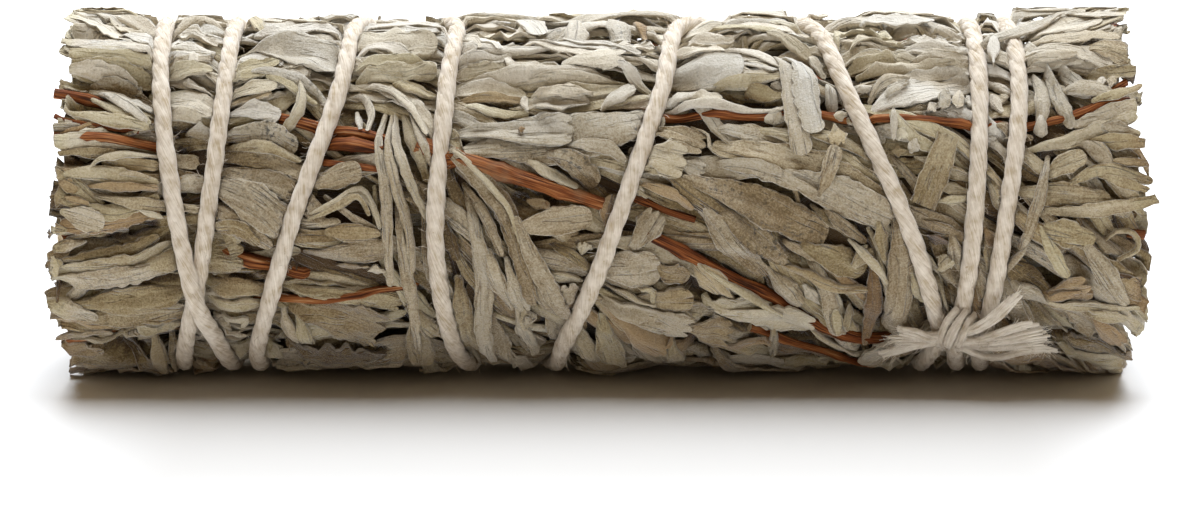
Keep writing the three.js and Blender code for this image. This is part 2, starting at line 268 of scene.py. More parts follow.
# How likely loose leaves are to have each bend, shape and finish: along the top, then elsewhere.
TOP_MIX = (
    dict(wave=0.4, roll=0.12, fold=0.18, cup=0.15, gutter=0.15),
    dict(strip=0.75, spoon=0.15, point=0.1),
    dict(pale=0.38, plain=0.2, grey=0.17, bright=0.15, tan=0.1),
)
SIDE_MIX = (
    dict(flat=0.42, cup=0.16, fold=0.16, roll=0.08, gutter=0.06, wave=0.12),
    dict(strip=0.52, spoon=0.14, three=0.14, two=0.06, five=0.06, point=0.08),
    dict(
        grey=0.24, plain=0.25, pale=0.12, tan=0.12, speckled=0.08, blue=0.05, olive=0.03, dark=0.06,
        brown=0.02, bright=0.03,
    ),
)
# Underneath, this many of them take one of the tan, brown, dark and olive finishes instead.
DARKER_UNDERNEATH = (-130, -55)
DARKER_UNDERNEATH_SHARE = 0.45

# Places across a leaf, from -1 to 1: fine and wide, fine, and others.
ACROSS_WIDE = [-1, -0.92, -0.75, -0.55, -0.35, -0.17, 0, 0.17, 0.35, 0.55, 0.75, 0.92, 1]
ACROSS_FINE = [-1, -0.88, -0.62, -0.3, 0, 0.3, 0.62, 0.88, 1]
ACROSS = [-1, -0.82, -0.4, 0, 0.4, 0.82, 1]
# What a leaf is pressed down by at each step as it settles.
PRESS = 0.012

# Room between the rows of points along a coarse, a fine and any other leaf.
COARSE_ROWS = 2.2
FINE_ROWS = 0.5
LEAF_ROWS = 0.8

# The cut ends are not quite square: how much longer the left and the right end are than the core at some
# angles, as (extra length, angle, width of that part).
UNEVEN_ENDS = [
    [(0.9, -25, 30), (-0.3, 60, 30)],
    [(0.9, 4, 14), (-1.5, 70, 20), (-0.5, -57, 14)],
]


def cut_end(x, s):
    """Where along the stick the leaves near a place are cut off."""
    angle = angle_at(s)
    uneven = UNEVEN_ENDS[x > 0]
    return HALF_LENGTH + sum(more * math.exp(-(((angle - a) / wide) ** 2)) for more, a, wide in uneven)


class Leaf:
    """One leaf: where it runs, its shape, how it is bent across, and its finish."""

    def __init__(self, path, width, shape, bend, finish, rng, fine=False):
        self.path = np.array(path, float)
        self.width = width
        self.shape = SHAPES[shape]
        self.bend = bend
        self.finish = finish
        self.fine = fine
        self.coarse = False
        self.rng = rng
        self.cut_at = cut_end(*self.path.mean(axis=0)) + rng.uniform(-0.6, 0.8)
        # How far the stalk and the tip are tucked in below the leaves round them.
        self.sunk = (0.9, 0.0)

    def across(self):
        """Places across the leaf, from -1 to 1, close together at the rims and at each notch."""
        lobes = self.shape["lobes"]
        if self.coarse:
            return np.linspace(-1, 1, 5)
        if lobes and (self.fine or self.width > 2.0):
            return np.linspace(-1, 1, 4 * lobes + 1)
        return np.array((ACROSS_WIDE if self.width > 2.4 else ACROSS_FINE) if self.fine else ACROSS)

    def outline(self, u):
        """The leaf's flat shape: places (x, s), and how far along and across each one is."""
        length = max(step_lengths(self.path).sum(), 1.0)
        spacing = COARSE_ROWS if self.coarse else FINE_ROWS if self.fine else LEAF_ROWS
        rows = int(np.clip(length / spacing, 4 if self.coarse else 8, 40)) + 1
        line = smooth_path(self.path, 61)
        t_line = np.linspace(0, 1, 61)
        slope = np.gradient(line, axis=0)
        slope /= np.linalg.norm(slope, axis=1, keepdims=True) + 1e-9
        inside = np.abs(line[:, 0]) - 0.5 * self.width * np.abs(slope[:, 1]) < self.cut_at
        if inside.sum() < 8:
            return None
        kept = t_line[inside]
        if kept[-1] - kept[0] > 0.98:
            t = 1 - (1 - np.linspace(0, 1, rows)) ** 1.25
        else:
            t = np.linspace(kept[0], kept[-1], rows)
        x, s = (np.interp(t, t_line, line[:, k]) for k in (0, 1))
        dx, ds = np.gradient(x), np.gradient(s)
        norm = np.hypot(dx, ds) + 1e-9
        dx, ds = dx / norm, ds / norm
        shape = self.shape
        grown = shape["stalk"] + (1 - shape["stalk"]) * ease(t / shape["widest"])
        drawn_in = 1 - (1 - shape["tip"]) * ease((t - shape["widest"]) / (1 - shape["widest"]))
        half = 0.5 * self.width * grown * drawn_in
        left = 1 + self.uneven(t, length)
        right = 1 + self.uneven(t, length)
        tip_back = shape["round"] * 0.5 * self.width * (1 - np.sqrt(np.clip(1 - np.abs(u) ** 2.4, 0, 1)))
        if shape["lobes"]:
            lobe = np.abs(np.sin(shape["lobes"] * np.pi * (u + 1) / 2))
            deeper = 1 + 0.3 * np.cos(2 * u + self.rng.uniform(-1, 1))
            tip_back = tip_back + shape["notch"] * self.width * deeper * (1 - lobe**0.55)
        pulled = np.zeros((len(t), len(u)))
        self.whole = (kept[0] < 0.02, kept[-1] > 0.98)
        if self.whole[1]:
            pulled += ease((t - 0.5) / 0.5)[:, None] * tip_back[None, :]
        if self.whole[0]:
            blunt = min(0.5, shape["round"]) * shape["stalk"] * self.width
            stalk_back = blunt * (1 - np.sqrt(np.clip(1 - u**2, 0, 1)))
            pulled -= ease((0.25 - t) / 0.25)[:, None] * stalk_back[None, :]
        side = half[:, None] * np.where(u < 0, left[:, None], right[:, None]) * u[None, :]
        grid_x = x[:, None] - ds[:, None] * side - dx[:, None] * pulled
        grid_s = s[:, None] + dx[:, None] * side - ds[:, None] * pulled
        cut = self.cut_at + self.rng.normal(0, 0.25) * u[None, :] + self.rng.normal(0, 0.08, grid_x.shape)
        return np.clip(grid_x, -cut, cut), grid_s, t[:, None] * length - pulled, side

    def uneven(self, t, length):
        """How much wider or narrower one side of the leaf is along its length."""
        waves = self.rng.uniform(0.06, 0.75, 3) * length
        starts = self.rng.random(3)
        calm = min(1.0, 1.7 / self.width)
        ripples = zip((0.08, 0.07, 0.06), waves, starts)
        return calm * sum(a * np.sin(2 * np.pi * (w * t + s)) for a, w, s in ripples)

    def section(self, t, u):
        """How far each place stands above a flat leaf, from the way it is bent, creased and dried."""
        rng = self.rng
        half = 0.5 * self.width
        spread = np.abs(u)[None, :]
        t = t[:, None]
        length = step_lengths(self.path).sum()
        rise = np.zeros((len(t), len(u)))
        if self.bend == "flat":
            rise += 0.12 * half * (1 - spread**2)
        elif self.bend == "cup":
            rise += min(0.28 * half, 0.4) * spread**2
        elif self.bend == "dome":
            rise += 0.4 * half * (1 - spread**2)
        elif self.bend == "fold":
            lean = rng.choice([-0.4, 0.4])
            rise += min(0.5 * half, 0.5) * (1 - np.abs(u[None, :] - lean) / (1 + abs(lean))) ** 1.3
        elif self.bend == "roll":
            rise += min(0.75 * half, 0.6) * np.sqrt(np.clip(1.02 - spread**2, 0, 1))
        elif self.bend == "gutter":
            rise += min(0.6 * half, 0.6) * spread**1.5
        elif self.bend == "wave":
            turns = length / rng.uniform(1.7, 3.6)
            ripple = np.sin(2 * np.pi * (turns * t + rng.random()))
            rise += min(0.5 * half, 0.45) * ripple * u[None, :]
            rise += min(0.35 * half, 0.35) * spread**2
            rise += 0.12 * np.sin(2 * np.pi * (1.6 * turns * t + rng.random()))
        if self.fine or self.width > 1.6:
            creases = rng.uniform(0.5, 0.9) + 0.22 * self.width
            depth = rng.uniform(0.1, 0.24) + 0.03 * min(self.width, 4)
            drift = 0.35 * np.sin(2 * np.pi * (t * rng.uniform(0.3, 0.8) + rng.random()))
            folds = np.abs(np.sin(np.pi * (creases * u[None, :] + rng.random() + drift)))
            rise += depth * (folds**0.7 - 0.6) * (1 - spread**4) * ease(1.4 * t + 0.1)
        fade = rng.uniform(0.45, 1.0) + rng.uniform(-0.5, 0.5) * (t - 0.5)
        rise *= np.clip(fade, 0.3, 1.15)
        rise += rng.uniform(-0.25, 0.45) * ease((t - 0.72) / 0.28)
        for _ in range(3):
            lumps = rng.uniform(0.25, 0.6) * length
            slant = rng.uniform(-0.5, 0.5) * self.width
            rise += 0.045 * np.sin(2 * np.pi * (t * lumps + slant * u[None, :] * 0.5 + rng.random()))
        return rise


def lay_leaf(ground, leaf, thickness, stiffness=26, lift=0.0, piece=""):
    """Lets a leaf settle on the ground, a RolledOut of heights, raises the ground, and gives its mesh."""
    u = leaf.across()
    flat = leaf.outline(u)
    if flat is None:
        return None
    x, s, along, side = flat
    floor = ground.read(x, s)
    height = floor.copy()
    for _ in range(stiffness):
        ends = np.vstack([height[:1], height, height[-1:]])
        sides = np.hstack([height[:, :1], height, height[:, -1:]])
        mean = 0.3 * (ends[:-2] + ends[2:]) + 0.2 * (sides[:, :-2] + sides[:, 2:])
        height = np.maximum(floor, mean - PRESS)
    t = np.clip(along.mean(axis=1) / (along.max() + 1e-6), 0, 1)
    rise = leaf.section(t, u)
    rise -= rise.min(axis=1, keepdims=True)
    top = height + lift + thickness + rise
    stalk_down, tip_down = (down * free for down, free in zip(leaf.sunk, leaf.whole))
    top -= (stalk_down * (1 - ease(t / 0.18)) + tip_down * (1 - ease((1 - t) / 0.15)))[:, None]
    top[:, [0, -1]] -= 0.12 * thickness
    fine = (10, 7) if leaf.coarse else (3, 3) if leaf.width > 2.5 else (4, 2)
    ground.raise_to(refine(x, fine), refine(s, fine), refine(top, fine))
    # The underside is three more points in each ring: one below each rim, and one below the middle.
    first, last, middle = [0], [-1], [len(u) // 2]
    centre_x, centre_s = ((grid[:, middle] + grid[:, [(len(u) - 1) // 2]]) / 2 for grid in (x, s))
    low = np.min(top, axis=1, keepdims=True) - 0.75 * thickness
    rings_x = np.hstack([x, x[:, last], centre_x, x[:, first]])
    spread = np.hstack([side, side[:, last], 0 * side[:, first], side[:, first]])
    along = np.hstack([along, along[:, last], along[:, middle], along[:, first]])
    offset = leaf.rng.uniform(0, 40, 2)
    return dict(
        x=rings_x,
        s=np.hstack([s, s[:, last], centre_s, s[:, first]]),
        h=np.hstack([top, top[:, last] - 0.8 * thickness, low, top[:, first] - 0.8 * thickness]),
        uv=np.stack([spread + offset[0], along + offset[1]], axis=-1),
        # rim: how far across the leaf each point is, 1 at its edges, where the material paints a highlight and
        # curl shade.
        rim=np.broadcast_to(np.hstack([np.abs(u), [1.0, 0.0, 1.0]]), rings_x.shape),
        finish=leaf.finish,
        piece=piece,
    )


def add_object(name, data):
    """Puts a mesh, a lamp or a camera in the scene."""
    made = bpy.data.objects.new(name, data)
    bpy.context.scene.collection.objects.link(made)
    return made


def looks(shape, *parts):
    """The four numbers that a material reads at each point of rings of the given shape."""
    return np.stack([np.broadcast_to(part, shape[:2]) for part in parts], axis=-1)


class MeshPile:
    """Gathers many closed bodies into one mesh object."""

    def __init__(self, name):
        self.name = name
        self.points, self.quads, self.caps, self.uvs, self.looks, self.smooth = ([] for _ in range(6))
        self.total = 0

    def add(self, rings, uv, look, wound=1, crisp=()):
        """rings: (rows, columns, 3) points in millimetres. look: (rows, columns, 4) numbers.

        crisp lists the columns of faces that meet their neighbours at a sharp edge."""
        rows, columns = rings.shape[:2]
        smooth = np.ones((rows - 1, columns), bool)
        smooth[:, list(crisp)] = False
        self.smooth.append(smooth.ravel())
        i = np.arange(rows - 1)[:, None] * columns
        j = np.arange(columns)[None, :]
        k = (j + 1) % columns
        quads = np.stack([i + j, i + columns + j, i + columns + k, i + k], axis=-1).reshape(-1, 4)
        self.quads.append(quads[:, ::wound] + self.total)
        ring = np.arange(columns) + self.total
        self.caps += [ring[::-wound], ring[::wound] + (rows - 1) * columns]
        self.points.append(rings.reshape(-1, 3))
        self.uvs.append(uv.reshape(-1, 2))
        self.looks.append(look.reshape(-1, 4))
        self.total += rows * columns

    def build(self, material):
        points = np.concatenate(self.points) * MM
        quads = np.concatenate(self.quads)
        corners = np.concatenate([quads.ravel()] + self.caps)
        sizes = np.concatenate([np.full(len(quads), 4), [len(cap) for cap in self.caps]])
        starts = np.concatenate([[0], np.cumsum(sizes)[:-1]])
        mesh = bpy.data.meshes.new(self.name)
        mesh.vertices.add(len(points))
        mesh.vertices.foreach_set("co", points.ravel().astype(np.float32))
        mesh.loops.add(len(corners))
        mesh.loops.foreach_set("vertex_index", corners.astype(np.int32))
        mesh.polygons.add(len(sizes))
        mesh.polygons.foreach_set("loop_start", starts.astype(np.int32))
        smooth = np.concatenate(self.smooth + [np.zeros(len(self.caps), bool)])
        mesh.polygons.foreach_set("use_smooth", smooth)
        mesh.update(calc_edges=True)
        uv = np.concatenate(self.uvs)[corners]
        mesh.uv_layers.new(name="along_the_grain").data.foreach_set("uv", uv.ravel().astype(np.float32))
        look = np.concatenate(self.looks).astype(np.float32)
        mesh.color_attributes.new("look", "FLOAT_COLOR", "POINT").data.foreach_set("color", look.ravel())
        mesh.validate()
        mesh.materials.append(material)
        return add_object(self.name, mesh)


# ---- What is laid where ----

# How leaves lie in each part of the stick: x, angle, and the way they point from stalk to tip, in degrees
# from straight along the stick, turning up the front.
LIE = [
    (-46, 75, -8), (-46, 40, -10), (-46, 8, -5), (-44, -12, 20), (-42, -25, 5), (-42, -48, -15),
    (-30, 75, -12), (-30, 35, -8), (-30, 10, -12), (-30, -15, 0), (-27, -35, -12), (-24, -58, 0),
    (-20, 62, -5), (-19, 28, -65), (-17, 0, -80), (-15, -30, -78), (-12, -58, -60),
    (-12, 60, 0), (-8, 32, -5), (-9, 0, -65), (-7, -40, -60),
    (0, 65, -3), (0, 35, 5), (2, 10, -8), (0, -15, -5), (4, -35, -25), (2, -62, -60),
    (12, 60, -3), (12, 36, -3), (14, 10, -35), (14, -15, -55), (14, -42, -60),
    (24, 60, -3), (24, 35, -15), (22, 15, -30), (22, -5, -50), (26, -32, -80),
    (34, 60, -10), (34, 30, -20), (36, 0, -60), (40, 45, -70), (42, 20, -40), (44, 0, -50),
    (45, -25, -60), (46, 70, 5), (47, -48, -60),
    (-40, 110, 4), (-10, 105, -4), (20, 110, 6), (42, 110, -5), (-35, 150, -12), (0, 150, 8),
    (32, 150, -10), (-40, 190, 10), (-10, 190, -20), (20, 195, 15), (44, 190, -8), (-30, 235, -6),
    (5, 235, 12), (36, 235, -15), (-42, 270, 5), (-8, 275, 6), (25, 270, -6),
]
LIE_BLEND = 5.0

# How much paler the leaves on top are painted, as painted light from above.
PAINTED_LIGHT_ON_TOP = 0.32

# The top of the stick shows narrow, rippled leaves that lie straight along it.
NARROW_TOP = (56, 130)

# The leaves that show on the front, one to a line: shape, bend, finish and width, then x and angle of the stalk,
# of any bends on the way, and of the tip. They are laid in this order. Some of the dark ones are painted shade,
# put where shadowed gaps lie between the others.
FRONT_LEAVES = """
# left end, upper
strip wave plain 1.3 -47 92 -44.6 82 -42.4 74
strip wave pale 1.7 -51 82 -47.5 76 -44.5 67 -41 60.5
strip wave plain 1.6 -46.5 79 -44 73 -41.5 70
spoon cup pale 2.2 -45 68 -41.3 66
strip fold olive 1.7 -50.6 58 -46 57.6 -41.5 57.5
strip roll pale 1.3 -50.6 62.2 -46 61.5 -41.5 60.3
strip flat olive 1.8 -50 54 -41.5 53
strip wave pale 1.2 -50.6 52 -47 53 -43 51
three flat olive 3.0 -48 45 -44 39 -41.5 33
strip cup grey 1.7 -47.5 49.5 -44 47.5 -40.5 44
strip fold grey 1.5 -47.5 48 -44.5 44 -41.3 38
strip flat grey 1.2 -46.5 46 -44 40 -41.8 33
strip roll pale 0.9 -50.9 49 -49 47.6 -47.5 45.8
strip roll tan 1.3 -48.9 36 -44.5 33.5 -41.6 31
strip flat tan 1.0 -50 22.8 -46 23 -41.5 21.8
# between the two left strings
strip wave pale 2.2 -40.6 84 -38 79 -36 76
strip flat pale 1.8 -40.8 69 -36 68.3
strip flat tan 0.9 -40.8 64.5 -36 63.5
strip cup pale 1.0 -40.8 60.8 -36 60.5
strip flat plain 0.9 -40.8 57.7 -36.2 58
two flat pale 1.0 -38.2 61 -37.6 55.8
strip wave tan 1.4 -40.8 54.5 -36 53.5
spoon flat pale 3.0 -42 50 -39 45 -35.5 38
strip fold pale 0.8 -38.8 51.5 -35.8 45
strip flat pale 1.3 -41 38.5 -38.5 36.5 -36.8 34
spoon flat grey 1.0 -38.4 31.5 -36 31.2
# right of the two left strings
strip wave olive 1.2 -33.4 92 -32 80 -31.5 73
strip wave pale 2.6 -32 80 -29 76 -25 77
strip wave pale 1.6 -32.5 74 -29 73 -26 75 -24 72
strip wave pale 1.3 -30 82 -26 79 -24 80
strip flat pale 1.2 -34.8 58.5 -31 58.3 -29.5 54.5
strip wave olive 1.5 -34.8 53 -31.5 54.6 -29.8 55.5
strip wave tan 1.0 -34.8 50 -31.5 51.5 -29.6 52
spoon cup grey 4.4 -35 66 -30 64.5 -24.2 58
strip flat olive 0.9 -34.8 42 -30.4 43.6
spoon cup plain 1.6 -35 44.5 -32.3 45.5 -29.9 46.8
spoon cup pale 1.7 -35 38.6 -32 38.2 -29.5 36.4
strip flat grey 0.9 -33 52 -29 50.5 -26.5 47 -25.2 41.5
strip flat olive 0.8 -31 50 -28.3 46 -26.2 41.5
strip roll plain 1.1 -27.9 49 -27.6 43 -28.2 36 -29.9 29
spoon flat speckled 2.4 -35.2 30.5 -31 30 -28 25.5
# left end, lower
strip fold plain 1.6 -46 20.4 -40.6 19.2
strip roll plain 1.8 -49.4 16 -46 16.6 -43 14.2 -40.6 13.4
strip roll pale 0.5 -44.6 16 -43 16.2 -41.3 14.8
strip flat olive 0.9 -47.3 12.4 -40.6 11.8
strip flat tan 1.3 -49.8 13.5 -48 11
strip roll pale 0.8 -47 18 -46.2 20.6 -44 22.4 -40.6 23
strip flat olive 2.0 -51.4 -0.6 -45 1.2 -40.6 4
strip flat plain 1.4 -50 8 -45 4 -40.6 9
strip fold olive 0.8 -49.3 9 -47 6.8
strip roll pale 1.1 -46.9 9.6 -43.5 7.4 -39.5 5.6 -36.2 4.6
strip roll pale 0.6 -42.4 4.9 -40.3 2.2
point flat plain 1.1 -49 -1.5 -51.7 -0.2
spoon cup pale 2.2 -49.7 4.6 -47.5 2.4 -45.6 0.3
strip flat plain 1.9 -51.6 -13.4 -45 -10.8 -40.7 -4.2
strip cup plain 2.2 -51.8 -15.4 -44 -13.5 -39.5 -7
strip flat grey 2.4 -52 -20 -44 -17.5 -39 -12.5
strip roll tan 1.2 -51.6 -37 -46 -38.8 -40 -39.4
strip fold olive 1.3 -51.8 -33.6 -45 -36 -38.6 -37.6
spoon flat plain 2.7 -49 -33 -44 -33.4 -38.6 -33
point flat olive 2.8 -38 -26 -43 -27.6 -49.5 -27.4
strip flat grey 2.0 -51.8 -27 -49 -29.6 -46.6 -32.6
four flat tan 2.6 -51.8 -42 -47.6 -42.6 -45.2 -43
strip cup tan 1.0 -51.8 -46 -46 -46.3 -42.3 -43.5
strip flat tan 2.0 -50.6 -55.5 -48 -55 -46.6 -53
three flat plain 2.6 -44.8 -46.6 -41.8 -48.4
strip wave plain 1.5 -43.6 -41.3 -41 -43 -38.6 -42
strip flat olive 1.5 -41.8 -48 -41.3 -70
strip flat dark 1.4 -40.2 -50 -39.8 -72
bud dome bright 2.1 -50.8 -9.6 -50.2 -16.6
bud dome tan 1.6 -51.3 -3 -51.1 -7
bud dome brown 1.5 -51 -22 -50.7 -26
five flat plain 5.2 -42 -14 -37.5 -11 -32.9 -9
three flat grey 2.2 -37 -44 -34.6 -39.6
# between the left strings and the fan
strip flat speckled 2.4 -36 23.6 -31 22.5 -27 15.5
strip flat plain 1.2 -35.2 26.5 -31 25.6 -27.6 21
strip flat speckled 2.6 -36 6 -33 0 -30.3 -8
strip flat speckled 3.0 -36.2 19 -32 14 -28 9 -25.4 2
spoon flat grey 3.6 -37 14 -32.5 8.5 -28.6 -2
strip flat plain 1.6 -36.4 -1.5 -33.5 -0.5 -31.4 -6
strip fold tan 1.9 -36.6 -23 -33.8 -23.8 -30.9 -26
strip flat plain 1.8 -36.6 -28 -33 -30 -30.6 -32.5
strip wave pale 0.9 -35.4 -37.6 -33.2 -37.4 -33.4 -41.5
strip flat grey 1.7 -35.3 -44 -33 -46.5
spoon flat grey 2.2 -27.3 12 -22 18
strip roll pale 0.8 -27 3 -24 8 -22 11 -20.6 3 -20.2 -1
strip roll plain 0.7 -27 1.5 -24.2 6 -22.3 9 -21.2 3
spoon flat grey 2.4 -27.5 -11 -19.5 -8
bud roll tan 1.9 -25.4 -2 -20.2 -2.5
bud dome tan 1.3 -24.5 -15 -21.3 -15
bud dome pale 1.2 -21.5 -16 -19.8 -16
bud dome brown 0.9 -28.9 -15.5 -28 -16.5
strip flat grey 1.4 -29.6 -34 -28.4 -48
strip flat plain 1.3 -28.2 -33 -27 -52
strip wave dark 2.4 -29.5 -51 -25 -55 -20 -54
three flat tan 6.0 -29 -32 -24.5 -36 -20 -43
# the leaves that sweep down under the middle string
spoon flat tan 2.6 -17.4 -34 -16.6 -64
strip fold grey 1.2 -18.8 12 -18.2 -10 -17.4 -30 -17 -50
strip flat grey 1.2 -16.4 14 -16 -6 -15.4 -22 -14.8 -40
strip roll grey 1.3 -15.6 6 -15 -14 -14 -34 -13.6 -56
strip flat dark 1.6 -14.8 2 -13.2 -14
spoon flat plain 2.6 -13.2 -20 -12.8 -36 -12.4 -54
spoon cup grey 2.4 -10.2 -36 -9.2 -62
spoon cup grey 2.4 -7.6 -44 -5.6 -62
strip fold grey 1.1 -19.8 40 -20.4 26 -19.8 12 -19.6 0 -19.4 -22
strip roll grey 1.0 -19.2 40 -19.5 24 -18.6 10 -17.6 -3 -17.3 -16
strip fold pale 1.0 -18.9 40 -18.7 26 -17.3 12 -15.9 1
strip flat plain 1.3 -18.3 40 -17.6 31 -16.8 24 -15.9 14
strip roll grey 0.9 -17.6 39 -16.5 28 -15.5 19
strip roll pale 0.7 -23.6 47.5 -22 45 -21.2 38 -21.5 30
strip roll grey 0.7 -22.6 41 -22.1 30.5
strip flat blue 1.9 -12.4 14 -11.4 -4 -10.7 -20 -10.9 -40 -10.2 -62
strip fold grey 1.1 -12.7 14 -11 5 -9.7 -4 -9 -10
strip flat grey 1.8 -10.4 -8 -9.4 -20 -8.2 -32
two flat grey 1.8 -8.7 -11 -7.8 -22 -6.9 -32
strip flat grey 1.4 -7.7 -30 -7.1 -45 -5.9 -62
spoon cup pale 1.7 -7.2 -31 -6.4 -38.4
bud cup grey 0.8 -6.9 -32.4 -6.5 -36.4
strip flat pale 2.0 -23.2 53 -20.3 49.8 -18 44 -16 35 -14.9 28
strip fold pale 0.8 -22.4 50.5 -19.6 47 -17.4 38 -16 29
strip flat grey 1.1 -13.4 19 -10.6 9.5 -8.6 0 -6.9 -12 -5.5 -25 -3.6 -36
strip flat blue 2.1 -15.6 30 -13.3 22 -11.2 15 -9.2 7 -8 -2 -7.3 -12 -6.2 -27
strip roll pale 0.6 -14.6 26 -12.6 21 -10.4 13.5 -8.4 5 -7.3 -6
# the middle, upper
strip wave pale 3.0 -23.6 70 -19.5 66.5 -15.2 68
strip wave pale 1.2 -23 63 -19.6 64.5 -17.8 61 -15.2 59.8
strip wave olive 1.3 -22.8 57.5 -19 58.5 -15.2 56.5
strip wave tan 1.5 -22.8 53.5 -18 54.2 -15.2 56
strip fold tan 1.8 -19.3 51 -15 45.5
strip wave pale 1.2 -14 73 -12 69 -11.2 63
two flat pale 1.4 -13.6 68 -11.6 61.5
strip flat bright 1.1 -11.6 80 -10.6 72 -9.3 62.5
strip wave pale 1.6 -12.5 84 -8.5 78 -6 72
strip fold pale 1.2 -14.2 60 -8.2 60.5
strip cup plain 1.3 -14.4 55.8 -11 56 -8 57
strip wave pale 0.8 -9 60 -7.6 53
strip flat pale 1.6 -14.4 52.3 -8 52 -3 52.8 1 53.6
strip cup pale 1.8 -14.4 49 -10 48.6 -6.9 46.3
strip flat tan 0.9 -13.6 44.6 -9.5 44.6 -7.2 43.2
strip flat plain 1.4 -14.3 43 -11.5 38.5 -9.3 33
strip flat grey 1.3 -14.6 40 -12.5 36 -10.6 31.5
strip flat olive 1.1 -12.8 42 -9.6 38.8 -6.6 38
spoon flat pale 2.4 -8 88 -6.6 80 -5.6 71
three flat pale 2.4 -2.6 84 -2.3 75 -2.2 66.5
spoon flat grey 2.2 1 88 1.8 76 2.2 70
strip wave pale 1.0 -8 69 -5.5 66 -4 62.5 -0.4 60 1.6 57
strip wave bright 0.9 -6.6 70 -4 65.5 -0.6 64 2.4 60.5
strip wave pale 0.9 -4.4 70 -2 66.5 0.4 66 3.8 60
two flat pale 2.2 -3.6 56.5 -0.5 57.4 2.4 57.8
strip cup pale 1.3 -7.3 51 -3 50.2 2.6 51.6
strip cup plain 1.4 -7 47.6 -4.6 46.6 0 47.4 3.2 49.6
strip flat pale 1.2 1.6 56 4.8 49.5
strip wave pale 2.6 -6.8 41.6 -3.8 42.4 -1 42
strip fold pale 0.7 -6.7 46 -7 42 -6.7 38
strip wave plain 1.3 -6.4 44.8 -3.6 45.2 -0.6 44.6
strip flat speckled 4.6 -12.6 24.5 -3 28 6 35.5
spoon flat pale 1.5 0 40 3.2 48.6
spoon flat speckled 2.2 -5.4 23.4 -2.6 20.5 -0.2 13.2
strip flat plain 1.2 -7 21 -4.4 16.4 -2 12
strip flat grey 1.4 -3 26 0.6 24.6 2.4 20
three cup blue 3.2 -14.2 30 -8 30.8 -2.4 30.6
bud dome brown 0.8 -7.6 31 -6.9 31
bud dome brown 1.2 3.3 90 4.3 73
# the middle, at the front
spoon cup grey 2.8 -8.2 -1.4 -4.6 0.8 -0.7 2.2
strip flat olive 1.2 -6.8 7.6 -4.6 6
spoon flat olive 2.4 0.6 -3 1.5 9.6
three cup blue 2.6 2.5 -10 4 -3 5.4 4.2
bud dome pale 0.9 2.7 13.4 4.4 8.4
strip flat dark 2.2 6 17 9 9 12 2
three cup dark 2.8 4.6 31 7 29.6 9.8 26
strip flat plain 0.5 8.4 34 10 30 10.1 26 11.6 22.6 16 20.5
three flat grey 1.9 6.8 20.5 9.7 17
three cup pale 3.4 2.6 24.6 5.6 21.6 8 19.4
strip flat olive 1.1 3.6 13.4 6.4 10.2 8.6 5
strip flat grey 3.0 9.2 6 12 -5 15.4 -20
strip flat speckled 2.8 11 5 14 -3 17.2 -13
spoon flat grey 3.8 -0.8 -18.5 2.4 -16 5.7 -14.2
spoon cup olive 2.4 5.2 -13.6 6.6 -16.6 8.3 -18
point flat olive 2.6 8.4 -12 10.4 -19 12.8 -27.5
spoon flat grey 2.2 -6.6 -9 -4 -13 -1.2 -19
strip flat plain 1.4 -5 -17 -1.6 -22
three flat pale 1.6 -1.7 -12.4 -1.4 -6.4
strip fold plain 0.9 -4.8 -7 -2.6 -11 -0.6 -17.5
two flat grey 1.9 -2.6 -31 -3 -20.4
spoon flat tan 2.6 2.6 -30 5.6 -27 8.7 -27
strip fold plain 0.7 3.4 -22.6 4.8 -22 4.9 -27
strip wave plain 0.8 0.2 -24.6 2.6 -27 5.2 -28.4
five flat tan 5.0 6.6 -39 9 -41 12.3 -44.5
strip flat plain 2.6 0 -36 0.8 -50 2 -70
strip flat plain 3.2 3 -38 4.6 -52 6 -72
strip flat olive 1.6 6.6 -50 7.8 -72
five flat olive 4.4 0.2 -32 3.6 -39.5 6.8 -50
strip roll tan 0.5 0.8 -32.6 3 -34.4 5.6 -41
three cup grey 3.1 0 -30 4 -33.4 8.6 -38
strip fold grey 1.8 -7.8 3 -6 -12 -4.2 -25 -2.8 -36
# right of the middle, upper
strip wave pale 1.5 6.2 41.6 8 44.6 10.2 48.4
spoon cup pale 1.5 8.2 41 11.3 44.8
spoon flat grey 3.8 5.4 55 9 54.6 13.4 55
strip wave pale 1.1 6 63 10 62.5 13 61.5
strip wave plain 1.0 8 67 13 66.5
strip wave pale 1.2 8 71 12.6 70
strip wave olive 1.0 9.4 78.5 15 75.6 17 72
strip flat pale 1.2 11.5 61 14.6 60.4 17.2 53
strip flat plain 0.9 10.4 48.3 17 49.8
strip flat tan 1.2 13.4 46.8 17 43.8
strip wave plain 1.0 15.6 74 18.5 67 20.8 60
strip wave pale 0.9 19.4 64 21 55
strip wave olive 1.3 22.2 66 22.5 75 25 79 27.4 74
strip wave plain 1.0 23.4 66 25.4 71 27.8 67
strip wave pale 2.0 24.4 86 28.4 83 31.6 84
strip wave pale 1.4 28 77 31 73 34 74
strip wave pale 1.2 27.4 70 31 69.4 34.4 68
strip wave pale 1.3 22.2 62.6 26 63 31 62
strip flat pale 1.2 28 66 34.6 64
strip wave tan 1.5 22.6 58.8 26.4 59.4 29.7 58
strip flat pale 1.3 29 61.5 34.6 60.6
strip flat plain 1.2 23.8 55.6 29 57.4 34.6 58
strip flat pale 1.1 22.6 52.6 27 51.6 30.4 54.5 34.6 55
strip flat bright 3.2 24.8 38.6 28.4 44.4 34.6 51.6
strip fold plain 1.1 24.9 43 26.3 48.6 28.8 50.4
strip flat grey 1.0 26.2 42.6 28.6 48.4
spoon flat grey 1.2 21 49 21.7 39.5
bud flat pale 1.1 22.2 46 23.4 41
strip flat grey 1.9 10.4 32.6 14 31 18 28
